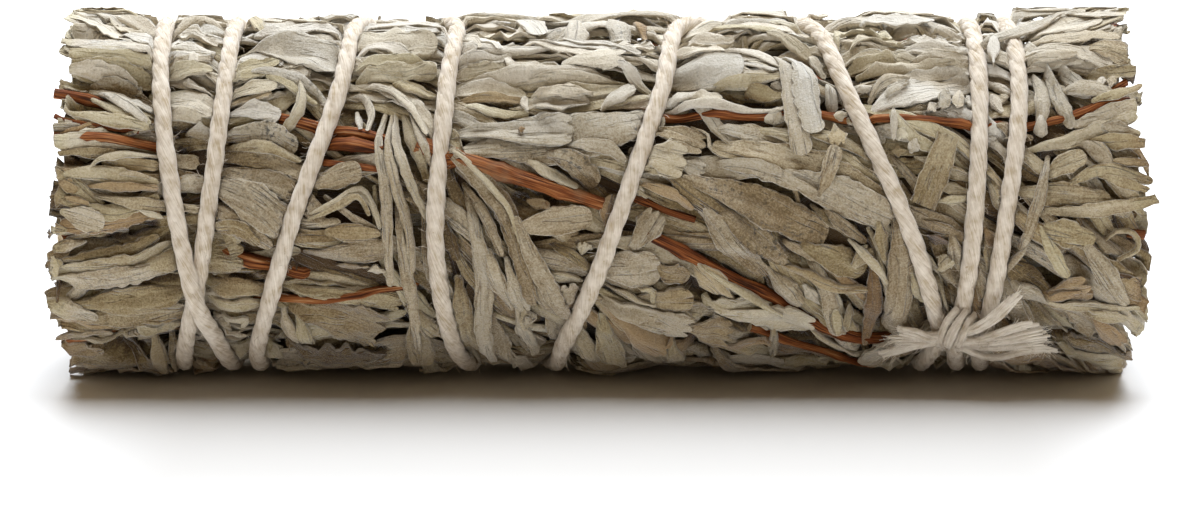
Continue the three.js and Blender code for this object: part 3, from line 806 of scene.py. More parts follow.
strip fold pale 0.8 6 39.8 11 40 17 38.6
bud dome pale 0.9 15.2 35.8 16.8 36.4
bud dome tan 0.9 16 33.6 17.2 35.4
bud dome pale 1.1 21.6 36.2 23 37.4
bud dome tan 0.9 22.8 35 24.4 36
spoon roll grey 1.3 32.2 46.6 31.6 37.6
spoon roll pale 1.2 33.5 47.4 33 38.2
spoon roll grey 1.2 34.7 46.6 34.2 39.4
bud dome pale 1.0 30.4 39.6 31 36.6
bud dome pale 1.1 27.2 30 28.4 28
bud dome olive 1.1 27.0 25 28.3 24.6
bud dome pale 1.1 28.4 26 29.5 24.4
# right of the middle, at the front
strip flat plain 2.0 14 33 20 26 26.4 12
strip flat tan 1.6 18 31 22 28 25.5 22
strip fold pale 0.9 29 23 33.6 17
strip flat plain 3.0 10.4 27 16 22.5 22 16 27 7
spoon flat grey 3.6 16 17.4 21 11 27 1.6
strip cup grey 1.6 10 20.6 15 17.4 20 9.6
spoon flat speckled 3.6 7.6 15.4 14 7.6 20.9 -4.6
strip flat plain 0.9 19.4 6.4 23.4 -5.6
strip flat grey 1.2 20.6 5 24.6 -7
strip fold grey 1.0 16.8 -6 19.8 -11.4
spoon flat tan 2.6 18.4 -6.4 21.4 -11 24.6 -17
three flat plain 2.0 23 -15 25.2 -9
spoon flat grey 2.2 15.4 -16 18.6 -29
bud flat grey 1.2 18.8 -21 20.4 -28
bud flat olive 1.3 21.8 -29 22.2 -39
bud flat tan 1.1 23 -30 23.2 -39
strip flat tan 1.7 25.2 -12 25.4 -30 24.8 -47
strip flat plain 1.3 25.6 2 26.4 -12
strip fold grey 2.9 27.4 3 27.9 -20 27 -44
strip roll pale 0.9 22.9 -5.6 25 -12 26.6 -20
strip roll tan 1.1 16.2 -13.8 19 -16.6 22 -21.8 24.8 -22.4
strip wave pale 2.4 9.4 -28 12.4 -28.6 16 -31
three cup pale 3.4 10.6 -30 15 -33.4 20 -38
strip roll pale 0.6 9 -12.6 13.5 -24 17 -32.6
strip flat plain 1.1 16.2 -38 16.4 -64
strip roll plain 0.8 19.4 -39.6 22 -48 25.6 -61
strip flat olive 0.9 11 -52.6 16 -47.4
spoon flat grey 3.6 31.6 -46 28.4 -52 24.6 -61
strip flat grey 1.4 29.4 1 33.8 -5
bud flat brown 1.3 30.2 -4.4 32.2 -6.6
strip flat grey 1.5 32.4 -3 33.2 -17
two flat plain 1.6 31.2 -17 32.4 -11
strip fold plain 1.0 28.8 -17 30 -30
strip flat pale 1.1 30.6 13.4 34.4 10
strip fold pale 0.9 31 7.4 34.2 8.4
strip flat plain 1.2 30.6 19 34.4 15
strip flat tan 1.0 35.8 14 37.4 2
strip flat plain 1.2 35.6 -5 36.6 -20
strip flat plain 1.0 35.9 40 38 46
strip fold plain 1.0 36 46.5 37.2 37
# right end, upper
spoon flat pale 3.0 40 72.5 44 76 47 82
strip wave pale 2.2 43 88 46 84 49.6 82
strip wave plain 1.8 40.2 66 45 67.4 48.6 65.6
strip flat dark 2.6 45.4 62.4 48 59 50.4 53
strip cup pale 1.5 39.6 61.4 43.6 60.6 45.5 55.8
strip fold plain 1.1 39.8 57.8 44.4 58
strip wave tan 1.5 45.2 53.4 47 51 50 50.6
strip flat grey 1.5 40.3 55.4 41 45 40.8 31.6
strip fold grey 1.6 41.5 55.4 42.4 45 43.7 32.4
spoon flat grey 1.5 42.7 55.4 45 46.4
bud flat grey 0.9 45.6 50.6 45.8 44.6
bud flat pale 0.9 46.6 50.4 46.4 45.4
bud flat plain 0.9 47.6 49.6 47.2 44.6
point flat grey 1.7 42.7 46.4 45.4 45 48.4 41
strip flat plain 2.0 43.6 33.6 47 35 50 38.6
strip fold tan 1.0 45.4 40 48 42 50.2 45.6
strip flat dark 1.4 36.4 33 40 28.6
spoon roll pale 1.2 40.6 37 40.9 29.6
strip fold plain 1.7 39.4 25 44 28.4 49.6 34.4
strip flat blue 1.2 46 31.6 49.8 28.4
strip flat tan 1.3 44.8 27.6 50.4 25.6
strip flat grey 1.5 44.2 27.6 46.2 23 47.4 15
spoon cup plain 2.0 40.6 14.6 42.6 19 44.8 22.4
strip flat plain 2.6 38.4 11 42 9.6 47 8
strip fold plain 1.4 42.8 12.6 46.4 17.4 51 14
strip fold tan 1.0 46 15.6 50.6 11
strip flat olive 0.9 47 20.6 50.6 19.6
strip cup pale 1.4 40.2 4.6 44 4.2 48 6 51.8 8.6
# right end, lower
strip flat dark 3.0 43.4 -48 50 -56
strip flat olive 2.6 43 -54 49.6 -64
strip flat dark 2.8 37.2 -14 42 -27
strip flat plain 2.6 40.6 -0.5 45.6 -4.6
strip flat plain 1.8 44.6 -10 49.6 -17.6
strip flat brown 1.6 46.6 -15 50.6 -21
strip flat tan 2.4 48 -17 51.2 -23
strip flat grey 2.2 44.6 -5 46.4 -14 48.8 -26
strip roll plain 0.6 46.6 -6 47.6 -2.6 49.2 -3 49.6 -8 47.6 -10.8
three flat olive 3.2 40.8 -26.4 43 -24 45.4 -20
strip fold olive 1.0 41.2 -26 44.6 -22.4
strip flat grey 1.8 37.8 -20 42 -30
three flat grey 3.0 41 -28.6 44 -33 46.8 -44
three flat olive 2.4 45.6 -32 48.6 -45
strip cup pale 1.0 41 -26.4 45 -29 50 -27
spoon flat plain 1.6 45 -31 49 -32.6
spoon cup pale 1.3 40.4 0 41.6 -8 43.2 -17
strip flat grey 1.2 41.4 23 40.4 8 38.8 -9
strip roll grey 0.8 39.4 -7 37.5 -17
# under the frayed ends
spoon cup grey 1.9 31.4 -40.6 28.4 -47 24.8 -56
spoon flat olive 1.9 36 -52 39 -58 42 -62
"""

# Hollows between the leaves, dark from their own shade and from the painted shade of the leaves pushed down into
# them: depth, half width, then x and angle along each.
HOLLOWS = """
2.0 0.8 -48.6 70 -47 67.5
1.6 0.5 -49 86 -46.8 79
1.8 0.5 -48.8 39.5 -44.6 38
1.8 0.6 -49.4 20.6 -47.6 22
2.0 0.45 -46.8 -7.8 -44 -4 -41.7 -0.6
1.8 0.4 -47 -23.2 -43 -22 -39 -20.6
1.8 0.4 -36 -20.4 -32.4 -21.4
1.8 0.6 -48.5 -46 -46.9 -44.4
1.4 0.4 -44.6 -43.4 -42.5 -41
2.0 0.9 -46.4 -52 -43.8 -58
1.8 0.5 -39.7 33.3 -38.2 33
1.4 0.4 -39.4 27 -38.2 26.4
1.8 0.45 -34.6 33.4 -31 32.6
1.2 0.35 -39.2 73.6 -36.5 73.4
1.8 0.7 -23.5 40 -22.8 33
1.6 0.4 -20 27 -20 35
1.4 0.3 -18.3 12 -18.2 20
1.4 0.3 -17 18 -17 24
1.8 0.6 -29 -50 -21 -56
1.6 0.8 -7.6 8 -4.4 8.6
1.0 0.3 -12.6 42 -8.4 43
1.8 0.7 11.6 43.6 14.3 44.2
1.6 0.5 15 42 16.8 42.4
1.8 0.7 13.2 72 14.8 69
2.0 0.8 7.4 -21.4 9.4 -26.4
1.6 0.4 4.3 -23.6 4.3 -26
1.4 0.7 8.8 -55 10.4 -66
1.6 0.5 17.2 -8 19.5 -11
1.8 0.8 12.6 -42 15 -46
2.0 1.3 17.4 -46 24 -60
1.8 0.6 43.3 -10.4 45 -17.6
1.4 0.4 30.8 40.6 31.2 43.4
1.8 1.0 42 -48 48 -53
1.4 0.4 27 87 27.6 80
1.4 0.4 30.5 79 31.3 85
1.6 0.4 -11.8 83.4 -10 83.6
1.6 0.4 -9.8 84 -7.4 73
1.0 0.3 -1.8 58.6 0.2 58.2
1.6 0.5 37.4 28 38.4 26
1.4 0.5 31 -20 33 -27
1.4 0.5 26 -37 26.6 -46
1.6 0.6 47 -12 49.6 -15
"""

# Leaves that lie over the string or over the stems, loose on the outside. Each stands for one or more of
# the frame's outer leaves.
LOOSE_LEAVES = [
    ("point", "fold", "grey", 1.7, 35.0, 65, 38, 71, 42, 79, 45.5, 87),
    ("point", "roll", "bright", 1.3, 36.9, 69, 36.6, 55.5),
    ("spoon", "flat", "grey", 2.3, 15.2, 68, 16.7, 60, 17.9, 46, 18.2, 34, 18.6, 22),
    ("spoon", "flat", "grey", 2.5, 16.4, 63, 18.6, 55, 19.1, 42, 19.8, 29),
    ("three", "wave", "olive", 1.9, 21.8, 34, 21.9, 25),
    ("spoon", "cup", "grey", 1.6, 20.1, 9, 20.9, 15, 21.7, 25),
    ("strip", "roll", "pale", 0.7, 27.1, 38, 27.1, 27),
    ("cut", "cup", "plain", 2.6, 32.2, 28.5, 29.7, 6),
]

# Stems: thickness at each end, then x, depth and angle of each bend. Depth is S where the stem shows at
# the surface and I where it dives below the leaves.
OUTER_STEMS = [
    (0.95, 0.7, "-50.4 S 28.5, -46 S 28.2, -41.5 S 26.7, -36 I 26, -24 I 24, -13 I 22, -2 I 7.5, 9 I -1"),
    (1.1, 0.55, "-50.0 I -30, -38 I -33, -29.7 S -29.4, -25 S -26.5, -20 S -24, -10 I -25"),
    (1.15, 1.05, "4.4 S -3.4, 8 S -10, 12 S -19, 16 S -29, 20 S -37.3, 25 S -46.4, 34 I -60, 49 I -66"),
    (
        0.8,
        0.8,
        "49 S 41.2, 47 S 40, 43.5 S 37, 38 S 33.6, 34.5 S 33.2, 25.4 S 35.4, 20 S 37, 12 S 37.6, 5 S 37.6,"
        "-2 I 40",
    ),
    (1.0, 0.6, "-50.6 S 45.2, -46.8 S 43, -42 I 40, -34 I 43, -24 I 40, -10 I 44"),
    (1.5, 0.9, "-50.0 I -8, -38 I -9, -33.4 S -12.2, -28.4 S -18.4, -24 I -20, -10 I -13"),
    (1.0, 0.6, "-50.0 I -62, -45 I -56, -34 I -50, -12 I -47"),
    (1.1, 0.6, "50.0 I -6, 38 I -4, 24 I 2, 14 I 12"),
    (1.1, 0.5, "50.0 S 112, 38 S 108, 20 S 117, 2 S 126, -10 I 130"),
    (1.2, 0.5, "-50.0 I 146, -38 S 150, -22 S 166, -6 S 184, 6 I 194"),
    (1.05, 0.6, "50.0 S 176, 36 S 172, 22 S 178, 8 I 184"),
    (1.1, 0.55, "-50.0 S 212, -36 S 208, -20 I 214, 4 I 222, 22 I 218"),
]

# Short twigs that show between the leaves: thickness at each end, then x and angle of each bend.
TWIGS = [
    (1.1, 0.9, "-29.6 S 36.2, -26.5 S 34, -22.3 S 30.3, -19 S 28"),
    (1.3, 1.1, "-25 S 27.5, -22.5 S 26, -20 S 24"),
    (0.7, 0.5, "-25.5 S 20.5, -20 S 17.5"),
    (1.9, 1.2, "-17 S 26.5, -10 S 18, -5 S 12.5, 0.5 S 6"),
    (0.9, 0.7, "1.8 S 11, 3.4 S 8.4, 6 S 4.2, 8.8 S 0.8"),
    (0.5, 0.45, "-50.4 S 36, -49 S 33.8, -46 S 32, -42.6 S 31"),
    (0.8, 0.6, "14 S -43, 20 S -56, 26 S -70"),
    (1.0, 0.7, "-50 S -53, -46.6 S -46.8, -43.8 S -40.5"),
    (0.5, 0.4, "16.6 S 67, 18.5 S 60, 21 S 53.5"),
    (0.9, 0.9, "50.4 S -5, 48.8 S -4"),
    (0.6, 0.7, "46.6 S 42.6, 48.8 S 48.4"),
    (0.9, 0.7, "-14 S 122, -4 S 128, 6 S 126"),
    (1.1, 0.8, "18 S 200, 30 S 206, 38 S 203"),
    (1.0, 0.7, "-36 S 236, -24 S 244, -16 S 242"),
]

# The string's path as (angle, x), from the knot down the front, under and on, 8 times round and back.
STRING_PATH = [
    (-45, 32), (-75, 30.6), (-130, 31), (-175, 33), (-220, 34.5), (-265, 35), (-315, 35.2), (-365, 34.4),
    (-410, 33.4), (-440, 34), (-490, 35), (-535, 36.5), (-580, 37.8), (-625, 38.4), (-675, 38.9),
    (-725, 37.2), (-770, 35.8), (-800, 36.2), (-850, 36.8), (-895, 30), (-940, 18.5), (-985, 8.3),
    (-1035, 5.6), (-1085, 1), (-1130, -3.3), (-1160, -4.3), (-1210, -8), (-1255, -13), (-1300, -18.5),
    (-1345, -22.7), (-1395, -24.3), (-1445, -28.9), (-1490, -32), (-1520, -32.3), (-1570, -32.6),
    (-1660, -34.4), (-1705, -34.5), (-1755, -34.9), (-1805, -36.5), (-1850, -38.8), (-1880, -39.6),
    (-1930, -40.5), (-2020, -41.4), (-2065, -41.2), (-2115, -40.7), (-2165, -38.7), (-2210, -35.8),
    (-2240, -34.9), (-2290, -34.6), (-2335, -29.5), (-2380, -21.5), (-2425, -14), (-2475, -14.3),
    (-2525, -15.2), (-2570, -13.8), (-2600, -12.3), (-2650, -10.3), (-2695, -1), (-2740, 10),
    (-2785, 19), (-2835, 23), (-2885, 28.9), (-2921, 31.8),
]

# The surface stands out where leaf tips gather along the top, as (height, x, half width), and is drawn in
# at the places (x, half width) beside them.
TOP_WIDTH = 12
TOP_SWELLS = [(0.75, 44, 6), (0.4, -48, 5)]
TOP_DIP = 0.5
TOP_DIPS = [(-42.5, 2), (10, 2.5)]


def rows_of(table):
    """The rows of a table written as text, split into words, without its remarks."""
    return [line.split() for line in table.splitlines() if line and line[0] != "#"]


def places_from(words):
    """Places (x, s) on the stick, from words that give x and angle in turn."""
    numbers = [float(word) for word in words]
    return [(x, angle * MM_PER_DEGREE) for x, angle in zip(numbers[::2], numbers[1::2])]


def pick(rng, chances):
    """One of the names in a table of chances."""
    return rng.choice(list(chances), p=list(chances.values()))


def lie_at(x, s):
    """The way leaves point at a place, as an angle in radians."""
    guides = np.array(LIE, float)
    gap = np.hypot(guides[:, 0] - x, distance_round(guides[:, 1] * MM_PER_DEGREE, s))
    weight = 1 / (gap**2 + LIE_BLEND**2) ** 2
    heading = np.radians(guides[:, 2])
    return math.atan2((weight * np.sin(heading)).sum(), (weight * np.cos(heading)).sum())


def read_stem(text):
    """Turns "x S angle, x I angle" into rows of x, way round and how far the stem shows, 1 or 0."""
    stops = [stop.split() for stop in text.split(",")]
    return [(float(x), float(angle) * MM_PER_DEGREE, float(depth == "S")) for x, depth, angle in stops]


def twist_at(x):
    """How far the sprigs have turned round the stick at a place along it."""
    return SPRIG_TWIST * x / (2 * HALF_LENGTH)


def outer_sprig_at(x, s):
    """The number of the outer sprig whose sector holds a place on the stick."""
    shape_angle = (180 - s / MM_PER_DEGREE + twist_at(x)) % ONE_TURN
    return FIRST_OUTER_SPRIG + int(shape_angle // (ONE_TURN / OUTER_SPRIGS))


def string_route():
    """The middle line of the wound string as rows of x, way round in millimetres, and radius."""
    line = np.array([(x, angle * MM_PER_DEGREE) for angle, x in STRING_PATH], float)
    line = smooth_path(line, int(step_lengths(line).sum() / STRING_STEP))
    lift = np.zeros(len(line))
    # Places fewer steps apart than this along the string don't cross each other.
    apart = 24
    for i in range(apart + 1, len(line)):
        earlier = line[: i - apart]
        gap = np.hypot(earlier[:, 0] - line[i, 0], distance_round(earlier[:, 1], line[i, 1]))
        nearest = gap.argmin()
        over = lift[nearest] + CROSSING_LIFT
        angle = line[i, 1] / MM_PER_DEGREE % ONE_TURN - ONE_TURN
        under_stick = UNDERSIDE[0] < angle < UNDERSIDE[1]
        lift[i] = 0 if under_stick else over * max(0, 1 - gap[nearest] / CROSSING_REACH)
    return np.column_stack([line, STRING_RADIUS + running_mean(lift, 9)])


class Bundle:
    """The whole stick as it is laid: every leaf and stem in the order that it goes on."""

    def __init__(self, sizes):
        self.rng = np.random.default_rng(sizes.seed)
        self.thickness = sizes.leaf_thickness / MM
        self.ground = RolledOut()
        self.leaves, self.loose, self.stems, self.shown = [], [], [], []
        self.string = string_route()
        self.roughen_core()
        self.line_core()
        self.lay_random(sizes.base_leaves, base=True)
        self.lay_random(2 * sizes.cover_leaves // 3, base=False)
        self.lay_stems()
        self.lay_random(sizes.cover_leaves // 3, base=False)
        self.lay_random(sizes.top_leaves, base=False, top_only=True)
        self.lay_back(sizes.back_leaves)
        self.lay_front()
        self.fill_hollows(sizes.small_leaves)
        self.drop_buried()
        self.settle()
        self.lay_loose()

    def roughen_core(self):
        x, s = self.ground.places()
        for _ in range(14):
            k = self.rng.integers(2, 12)
            wave = self.rng.uniform(0.05, 0.45)
            phase = self.rng.uniform(0, 2 * np.pi, 2)
            self.ground.value += 0.12 * np.sin(k * s / ROLL_RADIUS + phase[0]) * np.sin(wave * x + phase[1])

    def lay(self, leaf, x, s, thicker=1.0, **settings):
        """Lays a leaf that belongs to the sprig at a place, and gives its mesh if it is on the stick."""
        mesh = lay_leaf(self.ground, leaf, self.thickness * thicker, piece=outer_sprig_at(x, s), **settings)
        if mesh:
            self.leaves.append(mesh)
        return mesh

    def line_core(self):
        """Broad leaves until no place on the core is left bare."""
        bare = self.ground.value.copy()
        x, s = self.ground.places()
        while True:
            open_cells = np.argwhere((self.ground.value <= bare) & (np.abs(x) < HALF_LENGTH - 2.4))
            if not len(open_cells):
                return
            cell = tuple(open_cells[self.rng.integers(len(open_cells))])
            leaf = self.random_leaf(x[cell], s[cell], True)
            leaf.width = self.rng.uniform(3.5, 6)
            leaf.bend = "flat"
            leaf.shape = SHAPES["cut"]
            # The lining takes the dark finish, as painted shade where it shows through gaps between the leaves
            # above.
            leaf.finish = self.vary("dark")
            leaf.coarse = True
            leaf.cut_at = HALF_LENGTH - self.rng.uniform(0.9, 1.5)
            mesh = self.lay(leaf, x[cell], s[cell])
            if mesh:
                mesh["lining"] = True

    def low_place(self, tries, top_only=False):
        """The lowest of some places drawn at random, which can lie a little past the cut ends."""
        edge = HALF_LENGTH + 5
        x = self.rng.uniform(-edge, edge, tries)
        s = self.rng.uniform(0, TURN_LENGTH, tries)
        if top_only:
            s = self.rng.uniform(*NARROW_TOP, tries) * MM_PER_DEGREE
        inside = np.clip(x, 1.5 - HALF_LENGTH, HALF_LENGTH - 1.5)
        lowest = self.ground.read(inside, s).argmin()
        return x[lowest], s[lowest]

    def random_leaf(self, x, s, base, heading=None):
        """A leaf of a likely size, shape and finish for its place, centred there."""
        rng = self.rng
        angle = angle_at(s)
        top = NARROW_TOP[0] < angle < NARROW_TOP[1]
        if heading is None:
            heading = self.random_heading(x, s, base)
        length = rng.uniform(6, 16) if top else rng.uniform(9, 22)
        width = rng.uniform(*((0.9, 1.9) if top else (1.5, 4.0) if base else (1.0, 2.8)))
        bend, shape, finish = (pick(rng, chances) for chances in (TOP_MIX if top else SIDE_MIX))
        if DARKER_UNDERNEATH[0] < angle < DARKER_UNDERNEATH[1] and rng.random() < DARKER_UNDERNEATH_SHARE:
            finish = rng.choice(["tan", "brown", "dark", "olive"])
        if bend in ("roll", "gutter"):
            width = min(width, rng.uniform(1.0, 2.4))
        bow = rng.normal(0, 0.06) * length
        sway = rng.normal(0, 0.03) * length
        along = np.array([math.cos(heading), math.sin(heading)])
        aside = np.array([-along[1], along[0]])
        middle = np.array([x, s])
        path = [
            middle - along * length / 2,
            middle - along * length / 6 + aside * (bow + sway),
            middle + along * length / 6 + aside * (bow - sway),
            middle + along * length / 2,
        ]
        leaf = Leaf(path, width, shape, bend, self.vary(finish), rng)
        leaf.sunk = (0.9, rng.choice([0.0, 0.5, 0.9]))
        return leaf

    def random_heading(self, x, s, base):
        heading = lie_at(x, s) + math.radians(self.rng.normal(0, 11 if base else 7))
        if self.rng.random() < (0.12 if abs(angle_at(s)) < 70 else 0.4):
            heading += math.pi
        return heading

    def vary(self, name):
        """A finish's tone, tint and specks, each a little off, as no two leaves dry alike."""
        spread = (0.07, 0.1, 0.1)
        return tuple(np.clip(v + self.rng.normal(0, by), 0, 1) for v, by in zip(FINISHES[name], spread))

    def near_stem(self, leaf):
        if not len(self.shown):
            return False
        line = smooth_path(leaf.path, 9)[:, None]
        gap = np.hypot(line[..., 0] - self.shown[:, 0], distance_round(line[..., 1], self.shown[:, 1]))
        return gap.min() < 0.5 * leaf.width + 0.5

    def lay_random(self, count, base, top_only=False):
        """Lays sprays of a few leaves that grow from one point, as leaves do along a sprig."""
        rng = self.rng
        laid = tries = 0
        while laid < count and tries < 4 * count:
            x, s = self.low_place(7 if base else 5, top_only)
            heading = self.random_heading(x, s, base)
            spread = math.radians(rng.uniform(4, 15))
            size = 1 if base else rng.integers(2, 6)
            for turn in rng.permutation(np.linspace(-1, 1, size)) if size > 1 else [0.0]:
                tries += 1
                leaf = self.random_leaf(x, s, base, heading + turn * spread)
                if size > 1:
                    length = np.linalg.norm(leaf.path[-1] - leaf.path[0])
                    lead = 0.35 * length * np.array([math.cos(heading), math.sin(heading)])
                    root = np.array([x, s]) - lead + rng.normal(0, 0.4, 2)
                    leaf.path = leaf.path - leaf.path[0] + root
                if not self.near_stem(leaf) and self.lay(leaf, x, s):
                    laid += 1

    def lay_back(self, count):
        """Broad leaves here and there on the side away from the front."""
        rng = self.rng
        for _ in range(count):
            x = rng.uniform(-HALF_LENGTH, HALF_LENGTH)
            s = rng.uniform(118, 300) * MM_PER_DEGREE
            leaf = self.random_leaf(x, s, True, lie_at(x, s) + math.radians(rng.normal(0, 28)))
            leaf.width = rng.uniform(2.2, 4.4)
            leaf.shape = SHAPES[rng.choice(["spoon", "three", "five", "strip", "two"])]
            leaf.bend = rng.choice(["flat", "cup", "wave"])
            middle = leaf.path.mean(axis=0)
            leaf.path = middle + 0.75 * (leaf.path - middle)
            if not self.near_stem(leaf):
                self.lay(leaf, x, s, lift=0.05)

    def lay_stems(self):
        shown = []
        for number, (thick, thin, route) in enumerate(OUTER_STEMS, FIRST_OUTER_SPRIG):
            shown += self.lay_stem(read_stem(route), thick, thin, number)
        for thick, thin, route in TWIGS:
            rows = read_stem(route)
            shown += self.lay_stem(rows, thick, thin, outer_sprig_at(*rows[0][:2]))
        self.shown = np.array(shown)

    def lay_stem(self, rows, thick, thin, sprig):
        """Lays one stem, raises the ground under it, and gives the places where it shows."""
        rows = np.array(rows, float)
        length = step_lengths(rows[:, :2]).sum()
        count = max(int(length / 0.6), 6)
        line = smooth_path(rows, count)
        t = np.linspace(0, 1, count)
        radius = 0.5 * (thick + (thin - thick) * t)
        for knot in np.arange(self.rng.uniform(2, 5), length, self.rng.uniform(5.5, 9)):
            radius = radius * (1 + 0.28 * bell((t * length - knot) / 0.7))
        level = running_mean(self.ground.read(line[:, 0], line[:, 1]), 11)
        deep = 1 - np.clip(line[:, 2], 0, 1)
        level = 0.7 * level + 0.3 * level.mean() + 0.55 * radius + 0.25
        level = level - 3.2 * ease(deep)
        self.stems.append(dict(line=line, level=level, radius=radius, sprig=sprig))
        shows = deep < 0.4
        dx, ds = np.gradient(line[:, 0]), np.gradient(line[:, 1])
        norm = np.hypot(dx, ds)
        for side in np.linspace(-0.95, 0.95, 9):
            rise = radius * math.sqrt(1 - side**2)
            x = line[:, 0] - ds / norm * radius * side
            s = line[:, 1] + dx / norm * radius * side
            self.ground.raise_to(x[shows], s[shows], (level + rise)[shows])
        return [tuple(p) for p in line[shows][:, :2]]

    def hand_leaf(self, row):
        shape, bend, finish, width, *places = row
        leaf = Leaf(places_from(places), float(width), shape, bend, self.vary(finish), self.rng, fine=True)
        if shape in ("bud", "cut"):
            leaf.sunk = (0.2 * (shape == "bud"), 0.0)
        return leaf

    def lay_front(self):
        self.by_hand = RolledOut()
        for row in rows_of(FRONT_LEAVES):
            leaf = self.hand_leaf(row)
            mesh = self.lay(leaf, *leaf.path[len(leaf.path) // 2], thicker=1.1, lift=0.06)
            if mesh:
                mesh["by_hand"] = True
                self.by_hand.raise_to(mesh["x"], mesh["s"], 1.0)

    def fill_hollows(self, count):
        """Small broken leaves that lie in the hollows, away from the listed front leaves."""
        for _ in range(count):
            x, s = self.low_place(14)
            leaf = self.random_leaf(x, s, False)
            middle = leaf.path.mean(axis=0)
            leaf.path = middle + (leaf.path - middle) * self.rng.uniform(0.2, 0.45)
            leaf.width = self.rng.uniform(0.6, 1.6)
            line = smooth_path(leaf.path, 9)
            if self.by_hand.read(line[:, 0], line[:, 1]).max() <= 0.2 and not self.near_stem(leaf):
                self.lay(leaf, x, s, stiffness=6)

    def drop_buried(self):
        """Takes out the leaves that lie under others, where next to nothing of them shows."""

        def shows(mesh):
            under = self.ground.read(mesh["x"], mesh["s"]) - mesh["h"]
            return (under < (1.2 if "lining" in mesh else 0.12)).mean() > 0.03

        self.leaves = [mesh for mesh in self.leaves if shows(mesh)]

    def gap_to_string(self, x, s, reach=STRING_REACH, far=9.0):
        """How far each place is from the middle of the string, up to its reach, and a far number past it."""
        gap = np.full(x.shape, far)
        cells = int(reach / CELL)
        for px, ps, _ in self.string:
            i = int(round((px + self.ground.edge) / CELL))
            j = int(round(ps / self.ground.cell_round))
            rows = np.arange(max(0, i - cells), min(self.ground.rows, i + cells + 1))
            block = np.ix_(rows, np.arange(j - cells, j + cells + 1) % self.ground.columns)
            near = np.hypot(x[block] - px, distance_round(s[block], ps))
            gap[block] = np.minimum(gap[block], near)
        return gap

    def settle(self):
        """Sets the radius of everything so that the outside follows the bound bundle's shape."""
        x, s = self.ground.places()
        gap = self.gap_to_string(x, s)
        up = np.sin(s / ROLL_RADIUS)
        target = BUNDLE_RADIUS + 0.12 * up
        target -= STRING_BED * bell(gap / STRING_BED_WIDTH)
        past = np.clip((np.abs(x) - HALF_LENGTH + END_TAPER_LENGTH) / END_TAPER_LENGTH, 0, 1)
        target -= END_TAPER * (0.3 + 1.7 * (0.5 * (1 - up))) * past**2
        over_top = bell(distance_round(s, math.pi / 2 * ROLL_RADIUS) / TOP_WIDTH)
        target += over_top * sum(rise * bell((x - at) / wide) for rise, at, wide in TOP_SWELLS)
        target -= TOP_DIP * over_top * sum(bell((x - at) / wide) for at, wide in TOP_DIPS)
        self.target = RolledOut(target)
        self.offset = RolledOut(target - blur(self.ground.value, SETTLE_BLUR / CELL))
        self.hollow = RolledOut()
        for depth, half, *places in rows_of(HOLLOWS):
            for px, ps in smooth_path(places_from(places), 12):
                away = np.hypot(x - px, distance_round(s, ps)) / float(half)
                self.hollow.value = np.maximum(self.hollow.value, float(depth) * np.exp(-(away**4)))
        half = STRING_DIAMETER / 2 + 0.05
        bed = STRING_RADIUS - np.sqrt(np.clip(half**2 - gap**2, 0, None))
        self.limit = RolledOut(np.where(gap < half, bed, NO_LIMIT))
        self.outside = RolledOut(np.minimum(self.offset.value + self.ground.value, self.limit.value))

    def radius_of(self, mesh):
        place = mesh["x"], mesh["s"]
        radius = mesh["h"] + self.offset.read(*place)
        radius = np.where(radius > SOFT_TOP, SOFT_TOP + 0.35 * (radius - SOFT_TOP), radius)
        deep = self.target.read(*place) - SHALLOW - radius
        radius += (1 - SETTLED) * np.maximum(deep, 0)
        if "by_hand" not in mesh:
            radius -= self.hollow.read(*place)
        radius = np.minimum(radius, self.limit.read(*place))
        return above_floor(np.minimum(radius, TOP_RADIUS), mesh["s"])

    def lay_loose(self):
        side = np.linspace(-1, 1, 7) * STRING_DIAMETER / 2
        for px, ps, radius in self.string:
            top = radius + np.sqrt((STRING_DIAMETER / 2) ** 2 - side**2)
            self.outside.raise_to(px + side, np.full(len(side), ps), top)
        for row in LOOSE_LEAVES:
            leaf = self.hand_leaf(row)
            self.loose.append(lay_leaf(self.outside, leaf, self.thickness * 1.2, stiffness=60, lift=0.05))


def above_floor(radius, s):
    """Keeps a radius inside the floor that the stick lies on."""
    down = np.clip(-np.sin(s / ROLL_RADIUS), 0.05, 1)
    return np.minimum(radius, (AXIS_HEIGHT - FLOOR_CLEARANCE) / down)


def placed(x, s, radius):
    """Points in millimetres from places on the rolled-out stick and their radius."""
    angle = s / ROLL_RADIUS
    return np.stack([x, -radius * np.cos(angle), AXIS_HEIGHT + radius * np.sin(angle)], axis=-1)


# ---- Nodes ----


def feed(node, feeds):
    """Gives a node's inputs what they are fed: a value, a socket, or another node's first output."""
    for key, value in feeds.items():
        if isinstance(value, bpy.types.Node):
            value = next(socket for socket in value.outputs if socket.enabled)
        if isinstance(value, bpy.types.NodeSocket):
            node.id_data.links.new(value, node.inputs[key])
        else:
            node.inputs[key].default_value = value


def add_node(tree, kind, feeds=None, **settings):
    """Adds one node, with its own settings and what its inputs are fed."""
    node = tree.nodes.new(kind)
    for name, value in settings.items():
        setattr(node, name, value)
    feed(node, feeds or {})
    return node


def linear(colour):
    """An sRGB hex colour such as "#B7AA99" as linear red, green, blue and alpha."""
    parts = [int(colour[i : i + 2], 16) / 255 for i in (1, 3, 5)]
    return (*[p / 12.92 if p <= 0.04045 else ((p + 0.055) / 1.055) ** 2.4 for p in parts], 1.0)


def set_ramp(node, stops):
    """Gives a colour ramp its stops, as pairs of position and hex colour."""
    ramp = node.color_ramp
    while len(ramp.elements) < len(stops):
        ramp.elements.new(0.5)
    for element, (position, colour) in zip(ramp.elements, stops):
        element.position = position
        element.color = linear(colour)


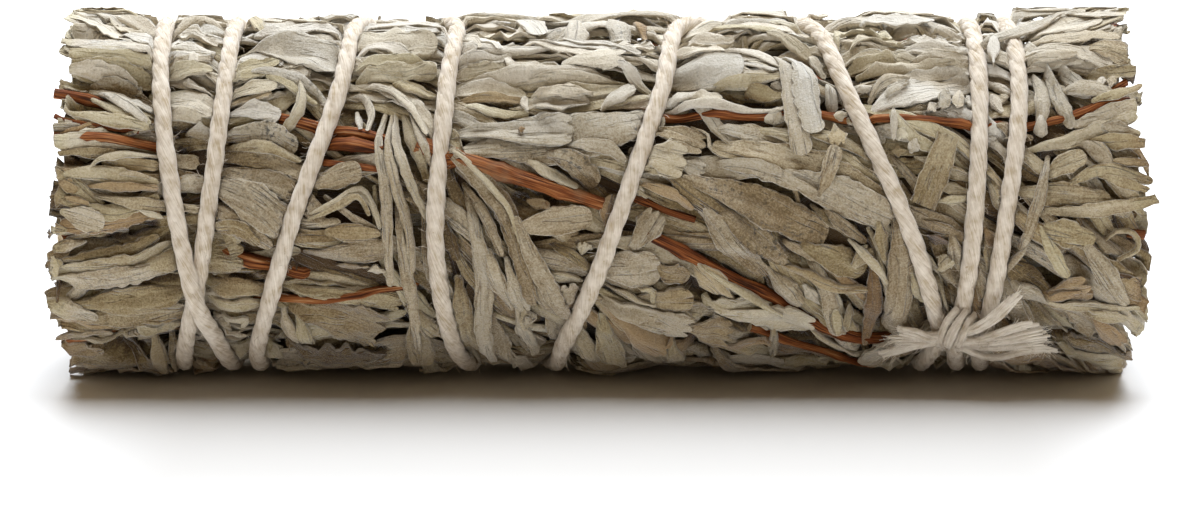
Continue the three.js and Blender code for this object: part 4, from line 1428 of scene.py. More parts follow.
def new_material(name):
    """An empty material, the function that adds nodes to it, and its surface shader."""
    material = bpy.data.materials.new(name)
    material.use_nodes = True
    material.node_tree.nodes.clear()
    add = functools.partial(add_node, material.node_tree)
    shader = add("ShaderNodeBsdfPrincipled")
    add("ShaderNodeOutputMaterial", {"Surface": shader})
    return material, add, shader


# ---- Materials ----

# Colours of a leaf's blade and of bark, from dark to pale.
# Painted shade takes deep leaves down toward the brown dark end of the blade's tones.
BLADE_TONES = [(0.0, "#54401F"), (0.25, "#8E7C5C"), (0.5, "#BBB09A"), (0.75, "#D0CABD"), (1.0, "#E6E3DC")]
BARK_TONES = [(0.0, "#160903"), (0.3, "#43200D"), (0.55, "#79401C"), (0.8, "#A36738"), (1.0, "#C9A378")]


def streaks(add, grain, across, along, **feeds):
    """Noise drawn out along the grain, with so many patterns a millimetre across and along it."""
    place = add("ShaderNodeVectorMath", {0: grain, 1: (across, along, 1.0)}, operation="MULTIPLY")
    return add("ShaderNodeTexNoise", {"Vector": place, "Scale": 1.0, **feeds})


def added(add, total, *parts):
    """The sum of numbers, one node for each that is added."""
    for part in parts:
        total = add("ShaderNodeMath", {0: total, 1: part})
    return total


def dried_sage_leaf(colours):
    """Dried sage leaf: pale woolly hairs over a grey green blade, with long veins, a painted highlight on its
    rims, and painted shade along its wrinkles and beside curled rims.
    """
    material, add, shader = new_material("dried_sage_leaf")
    look = add("ShaderNodeAttribute", attribute_name="look")
    tone, rim, tint = add("ShaderNodeSeparateColor", {"Color": look}).outputs
    specks = look.outputs["Alpha"]
    grain = add("ShaderNodeUVMap", uv_map="along_the_grain")
    place = add("ShaderNodeTexCoord").outputs["Object"]
    # Veins are about 0.35 mm apart and run 4 mm or more.
    veins = streaks(add, grain, 3.1, 0.13, Detail=3.0, Roughness=0.6)
    # Blotches are about 2 mm across, and the felt of hairs about 0.15 mm.
    blotches = add("ShaderNodeTexNoise", {"Vector": place, "Scale": 520.0, "Detail": 4.0, "Roughness": 0.6})
    felt = add("ShaderNodeTexNoise", {"Vector": place, "Scale": 5200.0, "Detail": 3.0, "Roughness": 0.7})
    toned = add("ShaderNodeMapRange", {0: blotches, 1: 0.3, 2: 0.7, 3: -0.09, 4: 0.09})
    veined = add("ShaderNodeMapRange", {0: veins, 1: 0.3, 2: 0.7, 3: -0.08, 4: 0.08})
    hairs = streaks(add, grain, 7.5, 0.45, Detail=3.0, Roughness=0.65)
    fine_hairs = add("ShaderNodeMath", {0: hairs, 1: 0.25}, operation="MULTIPLY")
    woolly = added(add, felt, fine_hairs)
    woolly = add("ShaderNodeMapRange", {0: woolly, 1: 0.46, 2: 0.79, 3: -0.14, 4: 0.14})
    # Wrinkles, thin as a hair, that run along the blade and fade in and out. They dent the bump, and the dark line
    # painted along them is painted shade.
    wrinkles = streaks(add, grain, 0.85, 0.06, Detail=2.5, Roughness=0.55)
    wrinkles = add("ShaderNodeMath", {0: wrinkles, 1: 0.5}, operation="SUBTRACT")
    wrinkles = add("ShaderNodeMath", {0: wrinkles}, operation="ABSOLUTE")
    thin = {0: wrinkles, 1: 0.0, 2: 0.022, 3: 1.0, 4: 0.0}
    wrinkles = add("ShaderNodeMapRange", thin, interpolation_type="SMOOTHSTEP")
    fading = add("ShaderNodeMapRange", {0: blotches, 1: 0.42, 2: 0.58, 3: 0.0, 4: 1.0})
    wrinkles = add("ShaderNodeMath", {0: wrinkles, 1: fading}, operation="MULTIPLY")
    # Painted shade along the wrinkles.
    creased = add("ShaderNodeMath", {0: wrinkles, 1: -0.2}, operation="MULTIPLY")
    total = added(add, tone, toned, creased, veined)
    # Rims often curl in, and the darker line beside them is painted as the shade of the curl.
    curl = {0: rim, 1: 0.5, 2: 0.85, 3: 0.0, 4: -0.08}
    beside = add("ShaderNodeMapRange", curl, interpolation_type="SMOOTHSTEP")
    blade = add("ShaderNodeValToRGB", {0: added(add, total, beside, woolly)})
    set_ramp(blade, BLADE_TONES)
    tinted = add("ShaderNodeValToRGB", {0: tint})
    set_ramp(tinted, [(0.0, "#F4F1EB"), (0.35, "#FEF5E5"), (0.75, "#F3EACB"), (1.0, "#DEC39C")])
    coloured = add("ShaderNodeMix", {0: 1.0}, data_type="RGBA", blend_type="MULTIPLY")
    feed(coloured, {6: blade, 7: tinted})
    # The rim of a leaf is thin, and painted pale as a painted highlight where its edge catches the light.
    thin = {0: rim, 1: 0.88, 2: 0.99, 3: 0.0, 4: 0.25}
    edge = add("ShaderNodeMapRange", thin, interpolation_type="SMOOTHSTEP")
    rimmed = add("ShaderNodeMix", data_type="RGBA")
    feed(rimmed, {0: edge, 6: coloured, 7: linear(colours.rim)})
    # Dark specks 0.2 to 0.4 mm across, gathered in patches.
    dots = add("ShaderNodeTexNoise", {"Vector": place, "Scale": 2300.0, "Detail": 2.0})
    patches = add("ShaderNodeTexNoise", {"Vector": place, "Scale": 300.0, "Detail": 1.0})
    gather = add("ShaderNodeMapRange", {0: patches, 1: 0.38, 2: 0.62, 3: 0.0, 4: 1.0})
    gather = add("ShaderNodeMath", {0: gather, 1: specks}, operation="MULTIPLY")
    spotted = add("ShaderNodeMapRange", {0: dots, 1: 0.54, 2: 0.68, 3: 0.0, 4: 0.85})
    spotted = add("ShaderNodeMath", {0: spotted, 1: gather}, operation="MULTIPLY")
    specked = add("ShaderNodeMix", data_type="RGBA")
    feed(specked, {0: spotted, 6: rimmed, 7: linear(colours.speck)})
    deep = add("ShaderNodeMath", {0: veins, 1: 0.5}, operation="MULTIPLY")
    height = added(add, deep, felt, fine_hairs)
    height = add("ShaderNodeMath", {0: height, 1: wrinkles}, operation="SUBTRACT")
    bump = add("ShaderNodeBump", {"Strength": 0.9, "Distance": 0.00026, "Height": height})
    feed(shader, {"Base Color": specked, "Roughness": 0.88, "Specular IOR Level": 0.25, "Normal": bump})
    feed(shader, {"Sheen Weight": 0.4, "Sheen Roughness": 0.5})
    return material


def reddish_bark(colours):
    """Sagebrush stem: thin reddish bark with fine long splits, grey in places, pale pith where it is cut."""
    material, add, shader = new_material("reddish_stem_bark")
    look = add("ShaderNodeAttribute", attribute_name="look")
    tone, cut, grey = add("ShaderNodeSeparateColor", {"Color": look}).outputs
    grain = add("ShaderNodeUVMap", uv_map="along_the_grain")
    place = add("ShaderNodeTexCoord").outputs["Object"]
    # Splits in the bark are about 0.2 mm apart and 3 mm long.
    splits = streaks(add, grain, 5.5, 0.22, Detail=4.0)
    shift = add("ShaderNodeMapRange", {0: splits, 1: 0.3, 2: 0.7, 3: -0.38, 4: 0.38})
    bark = add("ShaderNodeValToRGB", {0: added(add, tone, shift)})
    set_ramp(bark, BARK_TONES)
    weather = add("ShaderNodeTexNoise", {"Vector": place, "Scale": 330.0, "Detail": 3.0})
    weather = {0: added(add, weather, grey), 1: 0.76, 2: 1.05, 3: 0.0, 4: 0.6}
    weather = add("ShaderNodeMapRange", weather, interpolation_type="SMOOTHSTEP")
    weathered = add("ShaderNodeMix", data_type="RGBA")
    feed(weathered, {0: weather, 6: bark, 7: linear(colours.old_bark)})
    pith = add("ShaderNodeMix", data_type="RGBA")
    feed(pith, {0: cut, 6: weathered, 7: linear(colours.pith)})
    bump = add("ShaderNodeBump", {"Strength": 1.0, "Distance": 0.0003, "Height": splits})
    feed(shader, {"Base Color": pith, "Roughness": 0.6, "Specular IOR Level": 0.15, "Normal": bump})
    return material


def twisted_cotton(colours):
    """Soft spun cotton: matt cream fibres with a low sheen, and a stray brown husk here and there."""
    material, add, shader = new_material("twisted_cotton")
    place = add("ShaderNodeTexCoord").outputs["Object"]
    # Fibres lie along each ply, about 0.1 mm apart and 1.5 mm long.
    across = add("ShaderNodeAttribute", attribute_name="ply_across").outputs["Vector"]
    along = add("ShaderNodeAttribute", attribute_name="ply_along").outputs["Fac"]
    slant = add("ShaderNodeMath", {0: along, 1: FIBRE_SLANT}, operation="MULTIPLY")
    aslant = add("ShaderNodeVectorRotate", {"Vector": across, "Angle": slant}, rotation_type="Z_AXIS")
    run = add("ShaderNodeCombineXYZ", {2: along})
    run = add("ShaderNodeVectorMath", {0: run, 3: 0.08}, operation="SCALE")
    lie = add("ShaderNodeVectorMath", {0: aslant, 1: run})
    fibres = add("ShaderNodeTexNoise", {"Vector": lie, "Scale": 7500.0, "Detail": 3.0, "Distortion": 0.3})
    clumps = add("ShaderNodeTexNoise", {"Vector": place, "Scale": 900.0, "Detail": 2.0})
    tone = add("ShaderNodeMapRange", {0: added(add, fibres, clumps), 1: 0.74, 2: 1.26})
    cotton = add("ShaderNodeValToRGB", {0: tone})
    set_ramp(cotton, [(0.0, colours.cotton_shade), (0.5, colours.cotton), (1.0, "#E4D8C6")])
    # Fibres that have come untwisted are the palest: partly their own fluffed-out colour, partly painted light on
    # the tips, which stand out into the lamp.
    size = add("ShaderNodeAttribute", attribute_name="thickness").outputs["Fac"]
    frayed = add("ShaderNodeMapRange", {0: size, 1: 0.13, 2: 0.21, 3: 0.7, 4: 0.0})
    paler = add("ShaderNodeMix", data_type="RGBA")
    feed(paler, {0: frayed, 6: cotton, 7: linear("#FBF0DC")})
    husks = add("ShaderNodeTexNoise", {"Vector": place, "Scale": 1500.0, "Detail": 1.0})
    husky = add("ShaderNodeMapRange", {0: husks, 1: 0.76, 2: 0.8, 3: 0.0, 4: 0.6})
    flecked = add("ShaderNodeMix", data_type="RGBA")
    feed(flecked, {0: husky, 6: paler, 7: linear("#A08458")})
    bump = add("ShaderNodeBump", {"Strength": 0.8, "Distance": 0.00012, "Height": fibres})
    feed(shader, {"Base Color": flecked, "Roughness": 0.95, "Specular IOR Level": 0.1, "Normal": bump})
    feed(shader, {"Sheen Weight": 0.3, "Sheen Roughness": 0.5})
    return material


MAKERS = {"leaf": dried_sage_leaf, "stem": reddish_bark, "string": twisted_cotton}
MADE = {}


def finish_of(slot):
    """The material of one of the slots leaf, stem and string, made the first time that it is asked for."""
    if slot not in MADE:
        MADE[slot] = MAKERS[slot](bpy.context.scene.smudge_colours)
    return MADE[slot]


def fasten(piece, slot, *nodes):
    """Ties a finished piece to the stick's body and hides the frame's nodes that it stands for. The slot is not
    used.
    """
    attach(piece, BODY)
    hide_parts(*nodes)
    return piece


# ---- Pieces ----


def laid_bundle():
    """The laid leaves and stems, worked out once for all the operators."""
    if "bundle" not in MADE:
        MADE["bundle"] = Bundle(bpy.context.scene.smudge_sizes)
    return MADE["bundle"]


def add_leaf(pile, mesh, radius, surface):
    """Adds a laid leaf. Leaves deeper below the surface get painted shade: darker, browner and without pale rims.
    """
    x, s = mesh["x"], mesh["s"]
    tone, tint, specks = mesh["finish"]
    # How deep a leaf lies below the surface, which sets its painted shade.
    inner = ease((surface.read(x, s) - radius - 0.35) / 1.5)
    # Painted light and shade: leaves are painted paler on top and a little paler underneath, less so behind, and
    # painted darker low on the front, behind and near the ends.
    up = np.sin(s / ROLL_RADIUS)
    behind = ease((np.abs(distance_round(s, 0)) / MM_PER_DEGREE - 85) / 40)
    painted_light = PAINTED_LIGHT_ON_TOP * np.where(up > 0, up, -0.5 * up) + 0.04 * ease((up - 0.4) / 0.3)
    painted_light = painted_light * (1 - 0.8 * behind) - 0.07 - 0.06 * behind
    # Painted shade low on the front.
    front = ease((up + 0.98) / 0.5) * ease((0.62 - up) / 0.5) * (1 - behind)
    # Painted shade near the ends, mostly on their upper side.
    painted_end_shade = ease((x - 39) / 9) * (0.03 + 0.1 * ease(up)) + 0.09 * ease((-x - 43) / 6) * ease(up)
    tone = tone + painted_light - 0.055 * front - painted_end_shade * (1 - behind) - 0.55 * inner
    # They have browned where they were cut. Lower down and deeper in, they are painted browner as warm painted
    # shade.
    cut = ease((np.abs(x) - HALF_LENGTH + 1.4) / 1.6)
    tint = tint + 0.2 * ease((0.8 - up) / 0.8)
    tint = tint + (0.75 * inner + 0.6 * cut * (1 - inner)) * (1 - tint)
    look = looks(x.shape, tone, mesh["rim"] * (1 - inner), tint, specks)
    columns = x.shape[1]
    pile.add(placed(x, s, radius), mesh["uv"], look, crisp=(columns - 4, columns - 1))


def cut_leaf(rng, middle, turn, half_span, bow, end):
    """One packed leaf inside the stick: a bent blade that runs in from a cut end, with its place and look.

    middle is the place (y, z) of its cut edge from the axis, turn the way it faces, and end is -1 or 1."""
    thick = rng.uniform(0.3, 0.75)
    u = np.linspace(-1, 1, 5)
    kink = rng.uniform(-0.35, 0.35) * half_span * (1 - 2 * np.abs(u - rng.uniform(-0.3, 0.3)))
    wrapped = half_span * np.sin(bow * u) / max(abs(bow), 0.2)
    spine = np.stack([wrapped, half_span * bow * 0.5 * u**2 + kink], axis=1)
    taper = thick / 2 * np.sqrt(1.02 - u**2 * 0.75)
    ring = np.vstack([spine + [0, 1] * taper[:, None], (spine - [0, 1] * taper[:, None])[::-1]])
    c, s = math.cos(turn), math.sin(turn)
    cut = end * (cut_end(end, math.atan2(middle[1], -middle[0]) * ROLL_RADIUS) + rng.uniform(-1.6, 0.1))
    steps = np.array([0.0, 1.5, 6.0])
    rings = np.empty((len(steps), len(ring), 3))
    lean = rng.normal(0, 0.05, 2)
    for k, back in enumerate(steps):
        rings[k, :, 0] = cut - end * back + rng.normal(0, 0.12 * (k == 0), len(ring))
        rings[k, :, 1] = middle[0] + lean[0] * back + c * ring[:, 0] - s * ring[:, 1]
        rings[k, :, 2] = middle[1] + lean[1] * back + s * ring[:, 0] + c * ring[:, 1]
    rings[..., 2] += AXIS_HEIGHT
    across = np.concatenate([u, u[::-1]])
    uv = np.stack(np.broadcast_arrays((across * half_span)[None, :], steps[:, None]), axis=-1)
    return rings, uv + rng.uniform(0, 40, 2), np.abs(across)


def sprig_middle(number, x):
    """The place (y, z) from the axis of the middle of a sprig, part way along the stick."""
    if number == 1:
        return 0.0, 0.0
    inner = number < FIRST_OUTER_SPRIG
    share = ONE_TURN / (INNER_SPRIGS - 1 if inner else OUTER_SPRIGS)
    turn = share * (number - (2 if inner else FIRST_OUTER_SPRIG) + 0.5) - twist_at(x)
    angle = math.radians(180 - turn)
    radius = SPRIG_RINGS[0] if inner else SPRIG_RINGS[1]
    return -radius * math.cos(angle), radius * math.sin(angle)


def sprig_inside(x, y, z):
    """The number of the sprig whose part of the bundle holds a place (y, z) from the axis."""
    radius = math.hypot(y, z)
    if radius < SPRIG_BOUNDS[0]:
        return 1
    angle = math.degrees(math.atan2(z, -y))
    if radius < SPRIG_BOUNDS[1]:
        return 2 + int((180 - angle + twist_at(x)) % ONE_TURN // (ONE_TURN / (INNER_SPRIGS - 1)))
    return outer_sprig_at(x, angle * MM_PER_DEGREE)


# Middles of the sprigs: the radius of an inner and of an outer one, and how far from the cut end and how
# full each ring of points is.
MIDDLE_RADII = (3.7, 3.5)
MIDDLE_RINGS = [(2.4, 0.25), (2.1, 0.6), (2.5, 0.9), (3.8, 1.0)]
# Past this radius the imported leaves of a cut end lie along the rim.
PACKED_RIM = 12.4
ENDS_SEED, STEMS_SEED, FIBRES_SEED, STRANDS_SEED = 77, 5, 3, 8
FIBRES_PER_SQUARE_METRE = 1400000.0
# Loose fibres grow only above this height from the floor.
FIBRES_ABOVE = 1.7


def fill_ends(piles, bundle, spacing):
    """Packs both cut ends with leaves wrapped round each sprig's stem, over the sprigs' crushed middles."""
    rng = np.random.default_rng(ENDS_SEED)
    filled = BARE_RADIUS + 0.5
    for number, pile in piles.items():
        add_middle(pile, number, rng)
    count = int((filled / spacing) ** 2 * 3.2)
    for end in (-1, 1):
        for k in range(count):
            radius = filled * math.sqrt((k + 0.5) / count) + rng.normal(0, 0.25)
            angle = k * GOLDEN_ANGLE + rng.normal(0, 0.1)
            middle = (radius * math.cos(angle), radius * math.sin(angle))
            number = sprig_inside(end * HALF_LENGTH, *middle)
            away = np.subtract(middle, sprig_middle(number, end * HALF_LENGTH))
            half_span = rng.uniform(0.6, 1.6)
            bow = np.clip(half_span / (math.hypot(*away) + 0.4), 0.1, 0.9) * rng.uniform(0.3, 1.2)
            turn = math.atan2(away[1], away[0]) + np.pi / 2 + rng.normal(0, 0.5)
            if radius > PACKED_RIM:
                half_span = rng.uniform(0.6, 1.3)
                turn = angle + np.pi / 2 + rng.normal(0, 0.3)
            rings, uv, rim = cut_leaf(rng, middle, turn, half_span, bow, end)
            tone, tint, specks = bundle.vary(rng.choice(["grey", "plain", "tan", "pale", "olive", "dark"]))
            look = looks(rings.shape, tone - 0.08, rim, tint + 0.25 * (1 - tint), specks)
            piles[number].add(rings, uv, look, wound=-end)


def add_middle(pile, number, rng):
    """The crushed leaves in the middle of a sprig, that fill it from end to end behind the cut leaves."""
    sides = 14
    reach = MIDDLE_RADII[number >= FIRST_OUTER_SPRIG]
    ends = []
    for end in (-1, 1):
        y, z = sprig_middle(number, end * HALF_LENGTH)
        ends.append(min(HALF_LENGTH, cut_end(end, math.atan2(z, -y) * ROLL_RADIUS)))
    stops = [(depth - ends[0], size) for depth, size in MIDDLE_RINGS]
    stops += [(x, 1.0) for x in (-24.0, 0.0, 24.0)]
    stops += [(ends[1] - depth, size) for depth, size in reversed(MIDDLE_RINGS)]
    phi = np.linspace(0, 2 * np.pi, sides, endpoint=False)
    rings = np.empty((len(stops), sides, 3))
    for k, (x, size) in enumerate(stops):
        y, z = sprig_middle(number, x)
        rough = reach * size * (1 + rng.uniform(-0.08, 0.08, sides))
        rings[k, :, 0] = x + rng.uniform(-0.3, 0.3, sides)
        rings[k, :, 1] = y + rough * np.cos(phi)
        rings[k, :, 2] = AXIS_HEIGHT + z + rough * np.sin(phi)
    away = np.hypot(rings[..., 1], rings[..., 2] - AXIS_HEIGHT)
    held = np.minimum(1, (BARE_RADIUS - 0.3) / np.maximum(away, 1e-6))
    rings[..., 1] *= held
    rings[..., 2] = AXIS_HEIGHT + (rings[..., 2] - AXIS_HEIGHT) * held
    # The middles are painted dark, as painted shade deep between the cut leaves.
    pile.add(rings, 3 * rings[..., 1:], looks(rings.shape, 0.24, 0.0, 0.7, 0.3))


def add_stem(pile, line, radius, rng, tone, grey, sides=10):
    """Adds a stem round its middle line, each cut end closed with a ring of bark and one of pith."""
    ahead = unit(np.gradient(line, axis=0))
    up = unit(np.cross(ahead, [0.0, 1.0, 0.31]))
    aside = np.cross(ahead, up)
    phi = np.linspace(0, 2 * np.pi, sides, endpoint=False)
    ridges = 1 + 0.06 * np.sin(3 * phi + rng.uniform(0, 6)) + 0.04 * np.sin(5 * phi + rng.uniform(0, 6))
    wobble = 1 + rng.normal(0, 0.02, (len(line), sides))
    size = radius[:, None] * ridges[None, :] * wobble
    rings = line[:, None, :] + size[..., None] * (
        np.cos(phi)[None, :, None] * up[:, None, :] + np.sin(phi)[None, :, None] * aside[:, None, :]
    )
    inner, outer = ([rings[k] * 0.9 + line[k] * 0.1, rings[k] * 0.35 + line[k] * 0.65] for k in (0, -1))
    rings = np.concatenate([inner[::-1], rings, outer])
    cut = np.zeros(len(rings))
    cut[[0, 1, -2, -1]] = 0.75, 1.0, 1.0, 0.75
    walked = np.pad(np.concatenate([[0], np.cumsum(step_lengths(line))]), 2, mode="edge")
    around = np.abs(np.linspace(-1, 1, sides, endpoint=False)) * math.pi * radius.mean()
    uv = np.stack(np.broadcast_arrays(around[None, :], walked[:, None]), axis=-1) + rng.uniform(0, 40, 2)
    pile.add(rings, uv, looks(rings.shape, tone, cut[:, None], grey, 0), wound=-1)


def string_tree(name, plies, material):
    """Geometry nodes that turn a path into a string: plies wound round it, with loose fibres on top."""
    tree = bpy.data.node_groups.new(name, "GeometryNodeTree")
    sizes = ("Ply Radius", "Ply Offset", "Twist Length", "Fibre Length", "Fibres Per Square Metre")
    kinds = {"Path": "Geometry", **dict.fromkeys(sizes, "Float"), "Seed": "Int"}
    for socket, kind in kinds.items():
        tree.interface.new_socket(socket, in_out="INPUT", socket_type="NodeSocket" + kind)
    tree.interface.new_socket("String", in_out="OUTPUT", socket_type="NodeSocketGeometry")
    add = functools.partial(add_node, tree)
    inputs = add("NodeGroupInput").outputs
    path = add("GeometryNodeMeshToCurve", {0: inputs["Path"]})
    walked = add("GeometryNodeSplineParameter").outputs["Length"]
    ahead = add("GeometryNodeInputTangent")
    up = add("GeometryNodeInputNormal")
    aside = add("ShaderNodeVectorMath", {0: ahead, 1: up}, operation="CROSS_PRODUCT")
    turns = add("ShaderNodeMath", {0: walked, 1: inputs["Twist Length"]}, operation="DIVIDE")
    turned = add("ShaderNodeMath", {0: turns, 1: 2 * math.pi}, operation="MULTIPLY")
    here = add("GeometryNodeInputPosition")
    lumps = add("ShaderNodeTexNoise", {"Vector": here, "Scale": 420.0, "Detail": 2.0})
    fullness = add("ShaderNodeMapRange", {0: lumps, 1: 0.3, 2: 0.7, 3: 0.93, 4: 1.07})
    size = add("GeometryNodeInputNamedAttribute", {"Name": "thickness"}, data_type="FLOAT")
    fullness = add("ShaderNodeMath", {0: fullness, 1: size}, operation="MULTIPLY")
    profile = add("GeometryNodeCurvePrimitiveCircle", {"Resolution": 8, "Radius": inputs["Ply Radius"]})
    across = add("GeometryNodeStoreNamedAttribute", data_type="FLOAT_VECTOR")
    feed(across, {0: profile, "Name": "ply_across", "Value": here})
    along = add("GeometryNodeStoreNamedAttribute", data_type="FLOAT")
    feed(along, {0: path, "Name": "ply_along", "Value": walked})
    strands = add("GeometryNodeJoinGeometry")
    for ply in range(plies):
        phase = add("ShaderNodeMath", {0: turned, 1: 2 * math.pi * ply / plies})
        sides = []
        for operation, direction in (("COSINE", up), ("SINE", aside)):
            part = add("ShaderNodeMath", {0: phase}, operation=operation)
            part = add("ShaderNodeMath", {0: part, 1: inputs["Ply Offset"]}, operation="MULTIPLY")
            sides.append(add("ShaderNodeVectorMath", {0: direction, 3: part}, operation="SCALE"))
        out = add("ShaderNodeVectorMath", dict(enumerate(sides)), operation="ADD")
        wound = add("GeometryNodeSetPosition", {0: along, "Offset": out})
        strand = {0: wound, 1: across, "Scale": fullness, "Fill Caps": True}
        feed(strands, {0: add("GeometryNodeCurveToMesh", strand)})
    # Fibres grow from a tube inside the string, and none near the floor, where they would be pressed flat.
    radius = add("ShaderNodeMath", {0: inputs["Ply Radius"], 1: inputs["Ply Offset"]})
    radius = add("ShaderNodeMath", {0: radius, 1: 0.85}, operation="MULTIPLY")
    tube = add("GeometryNodeCurvePrimitiveCircle", {"Resolution": 6, "Radius": radius})
    tube = add("GeometryNodeCurveToMesh", {0: path, 1: tube, "Scale": size})
    height = add("ShaderNodeSeparateXYZ", {0: here}).outputs["Z"]
    clear = add("ShaderNodeMath", {0: height, 1: FIBRES_ABOVE * MM}, operation="GREATER_THAN")
    spread = add("GeometryNodeDistributePointsOnFaces", {0: tube, "Selection": clear, "Seed": inputs["Seed"]})
    feed(spread, {"Density": inputs["Fibres Per Square Metre"]})
    bend = add("GeometryNodeCurvePrimitiveBezierSegment", {0: 3, "Start": (0, 0, 0), "End": (0.75, 0.2, 0.5)})
    feed(bend, {"Start Handle": (0.0, 0.3, 0.3), "End Handle": (0.4, -0.2, 0.45)})
    thin = add("GeometryNodeCurvePrimitiveCircle", {"Resolution": 3, "Radius": 0.017})
    fibre = add("GeometryNodeCurveToMesh", {0: bend, 1: thin})
    lean = add("FunctionNodeRandomValue", {"Seed": inputs["Seed"]}, data_type="FLOAT_VECTOR")
    feed(lean, {0: (-1.1, -1.1, -3.1), 1: (1.1, 1.1, 3.1)})
    turn = {0: spread.outputs["Rotation"], 1: lean}
    leaned = add("FunctionNodeRotateRotation", turn, rotation_space="LOCAL")
    long = {"Min": 0.5, "Max": 1.4, "Seed": inputs["Seed"]}
    long = add("FunctionNodeRandomValue", long, data_type="FLOAT")
    long = add("ShaderNodeMath", {0: long, 1: inputs["Fibre Length"]}, operation="MULTIPLY")
    fuzz = {0: spread, "Instance": fibre, "Rotation": leaned, "Scale": long}
    fuzz = add("GeometryNodeInstanceOnPoints", fuzz)
    both = add("GeometryNodeJoinGeometry")
    for part in (strands, fuzz):
        feed(both, {0: part})
    whole = add("GeometryNodeRealizeInstances", {0: both})
    smooth = add("GeometryNodeSetShadeSmooth", {0: whole})
    add("NodeGroupOutput", {0: add("GeometryNodeSetMaterial", {0: smooth, "Material": material})})
    return tree


def polylines(name, lines, sizes):
    """A mesh of loose edges along each line of points, given in millimetres, with its thickness there."""
    edges = []
    start = 0
    for line in lines:
        edges += [(start + k, start + k + 1) for k in range(len(line) - 1)]
        start += len(line)
    mesh = bpy.data.meshes.new(name)
    mesh.from_pydata((np.concatenate(lines) * MM).tolist(), edges, [])
    thickness = mesh.attributes.new("thickness", "FLOAT", "POINT")
    thickness.data.foreach_set("value", np.concatenate(sizes).astype(np.float32))
    return add_object(name, mesh)


def wind_string(name, lines, sizes, tree, settings):
    """Runs the string nodes along the lines and gives the result as a plain mesh piece."""
    path = polylines(name + "_path", lines, sizes)
    modifier = path.modifiers.new("string", "NODES")
    modifier.node_group = tree
    sockets = {item.name: item.identifier for item in tree.interface.items_tree if item.in_out == "INPUT"}
    for key, value in settings.items():
        modifier[sockets[key]] = value
    made = path.evaluated_get(bpy.context.evaluated_depsgraph_get())
    mesh = bpy.data.meshes.new_from_object(made)
    path.modifiers.remove(modifier)
    bpy.data.objects.remove(path)
    mesh.name = name
    return add_object(name, mesh)


# The knot and the frayed ends. Each is a bundle of strands: how many, how thick each is in the middle and
# at its tip, the bundle's half width at the start and at the end, then places as x, angle and radius.
TIES = """
9 0.24 0.24 0.62 0.62 31.2 -35.6 16.6 32.2 -37.4 17.2 33.1 -38.4 17.4 34.1 -39.2 17.1 34.9 -41 16.5
7 0.2 0.2 0.33 0.33 33.2 -29.5 16.9 32.3 -31.5 17.7 31.8 -35.5 18.1 31.6 -40 18 32 -46.5 17.2
7 0.2 0.2 0.33 0.33 34 -29.6 16.9 33.3 -30.8 18 32.7 -34 18.5 32.4 -39 18.4 32.5 -45 17.4
7 0.2 0.2 0.33 0.33 34.8 -31.6 16.9 34.2 -32 17.9 33.7 -35 18.4 33.4 -40 18.2 33.3 -46 17.3
"""
TAILS = """
10 0.22 0.18 0.45 0.45 33.4 -36.5 17.75 34.8 -33 18.35 36.2 -28.9 18.5 37.4 -24.4 18.5 38.6 -20 18.35
7 0.2 0.16 0.22 0.4 33.4 -39.8 17.95 35.2 -37.4 18.45 36.9 -34.8 18.5 38.7 -32.4 18.35 40.7 -31.4 18.15
13 0.2 0.12 0.35 0.85 33.4 -40.5 17.85 35.6 -39.2 18.25 37.6 -38 18.35 39.6 -36.6 18.25 41.8 -35.9 18.05
9 0.2 0.1 0.3 0.7 33.4 -42 17.65 36 -42.6 17.95 38.6 -41.4 18.05 42 -40.6 17.85
9 0.19 0.1 0.25 0.5 33.4 -43.4 17.65 35.2 -46 18.05 37 -47.4 18.15 39.4 -44.4 18.05 41.3 -44 17.95 42.8 -46.8 17.75
12 0.22 0.14 0.4 0.75 32.2 -37.6 17.75 30.6 -37.2 18.25 29.1 -35.4 18.25 27.6 -35.4 17.95
10 0.21 0.12 0.4 0.8 32.2 -38.6 17.75 30.4 -38.8 18.15 28.7 -38.8 18.15 27 -40.4 17.85
10 0.2 0.1 0.35 0.5 32.2 -39.4 17.75 30 -40.8 18.05 28.1 -43.4 18.05 26.3 -48 17.75
"""
STRAND_POINTS = 26


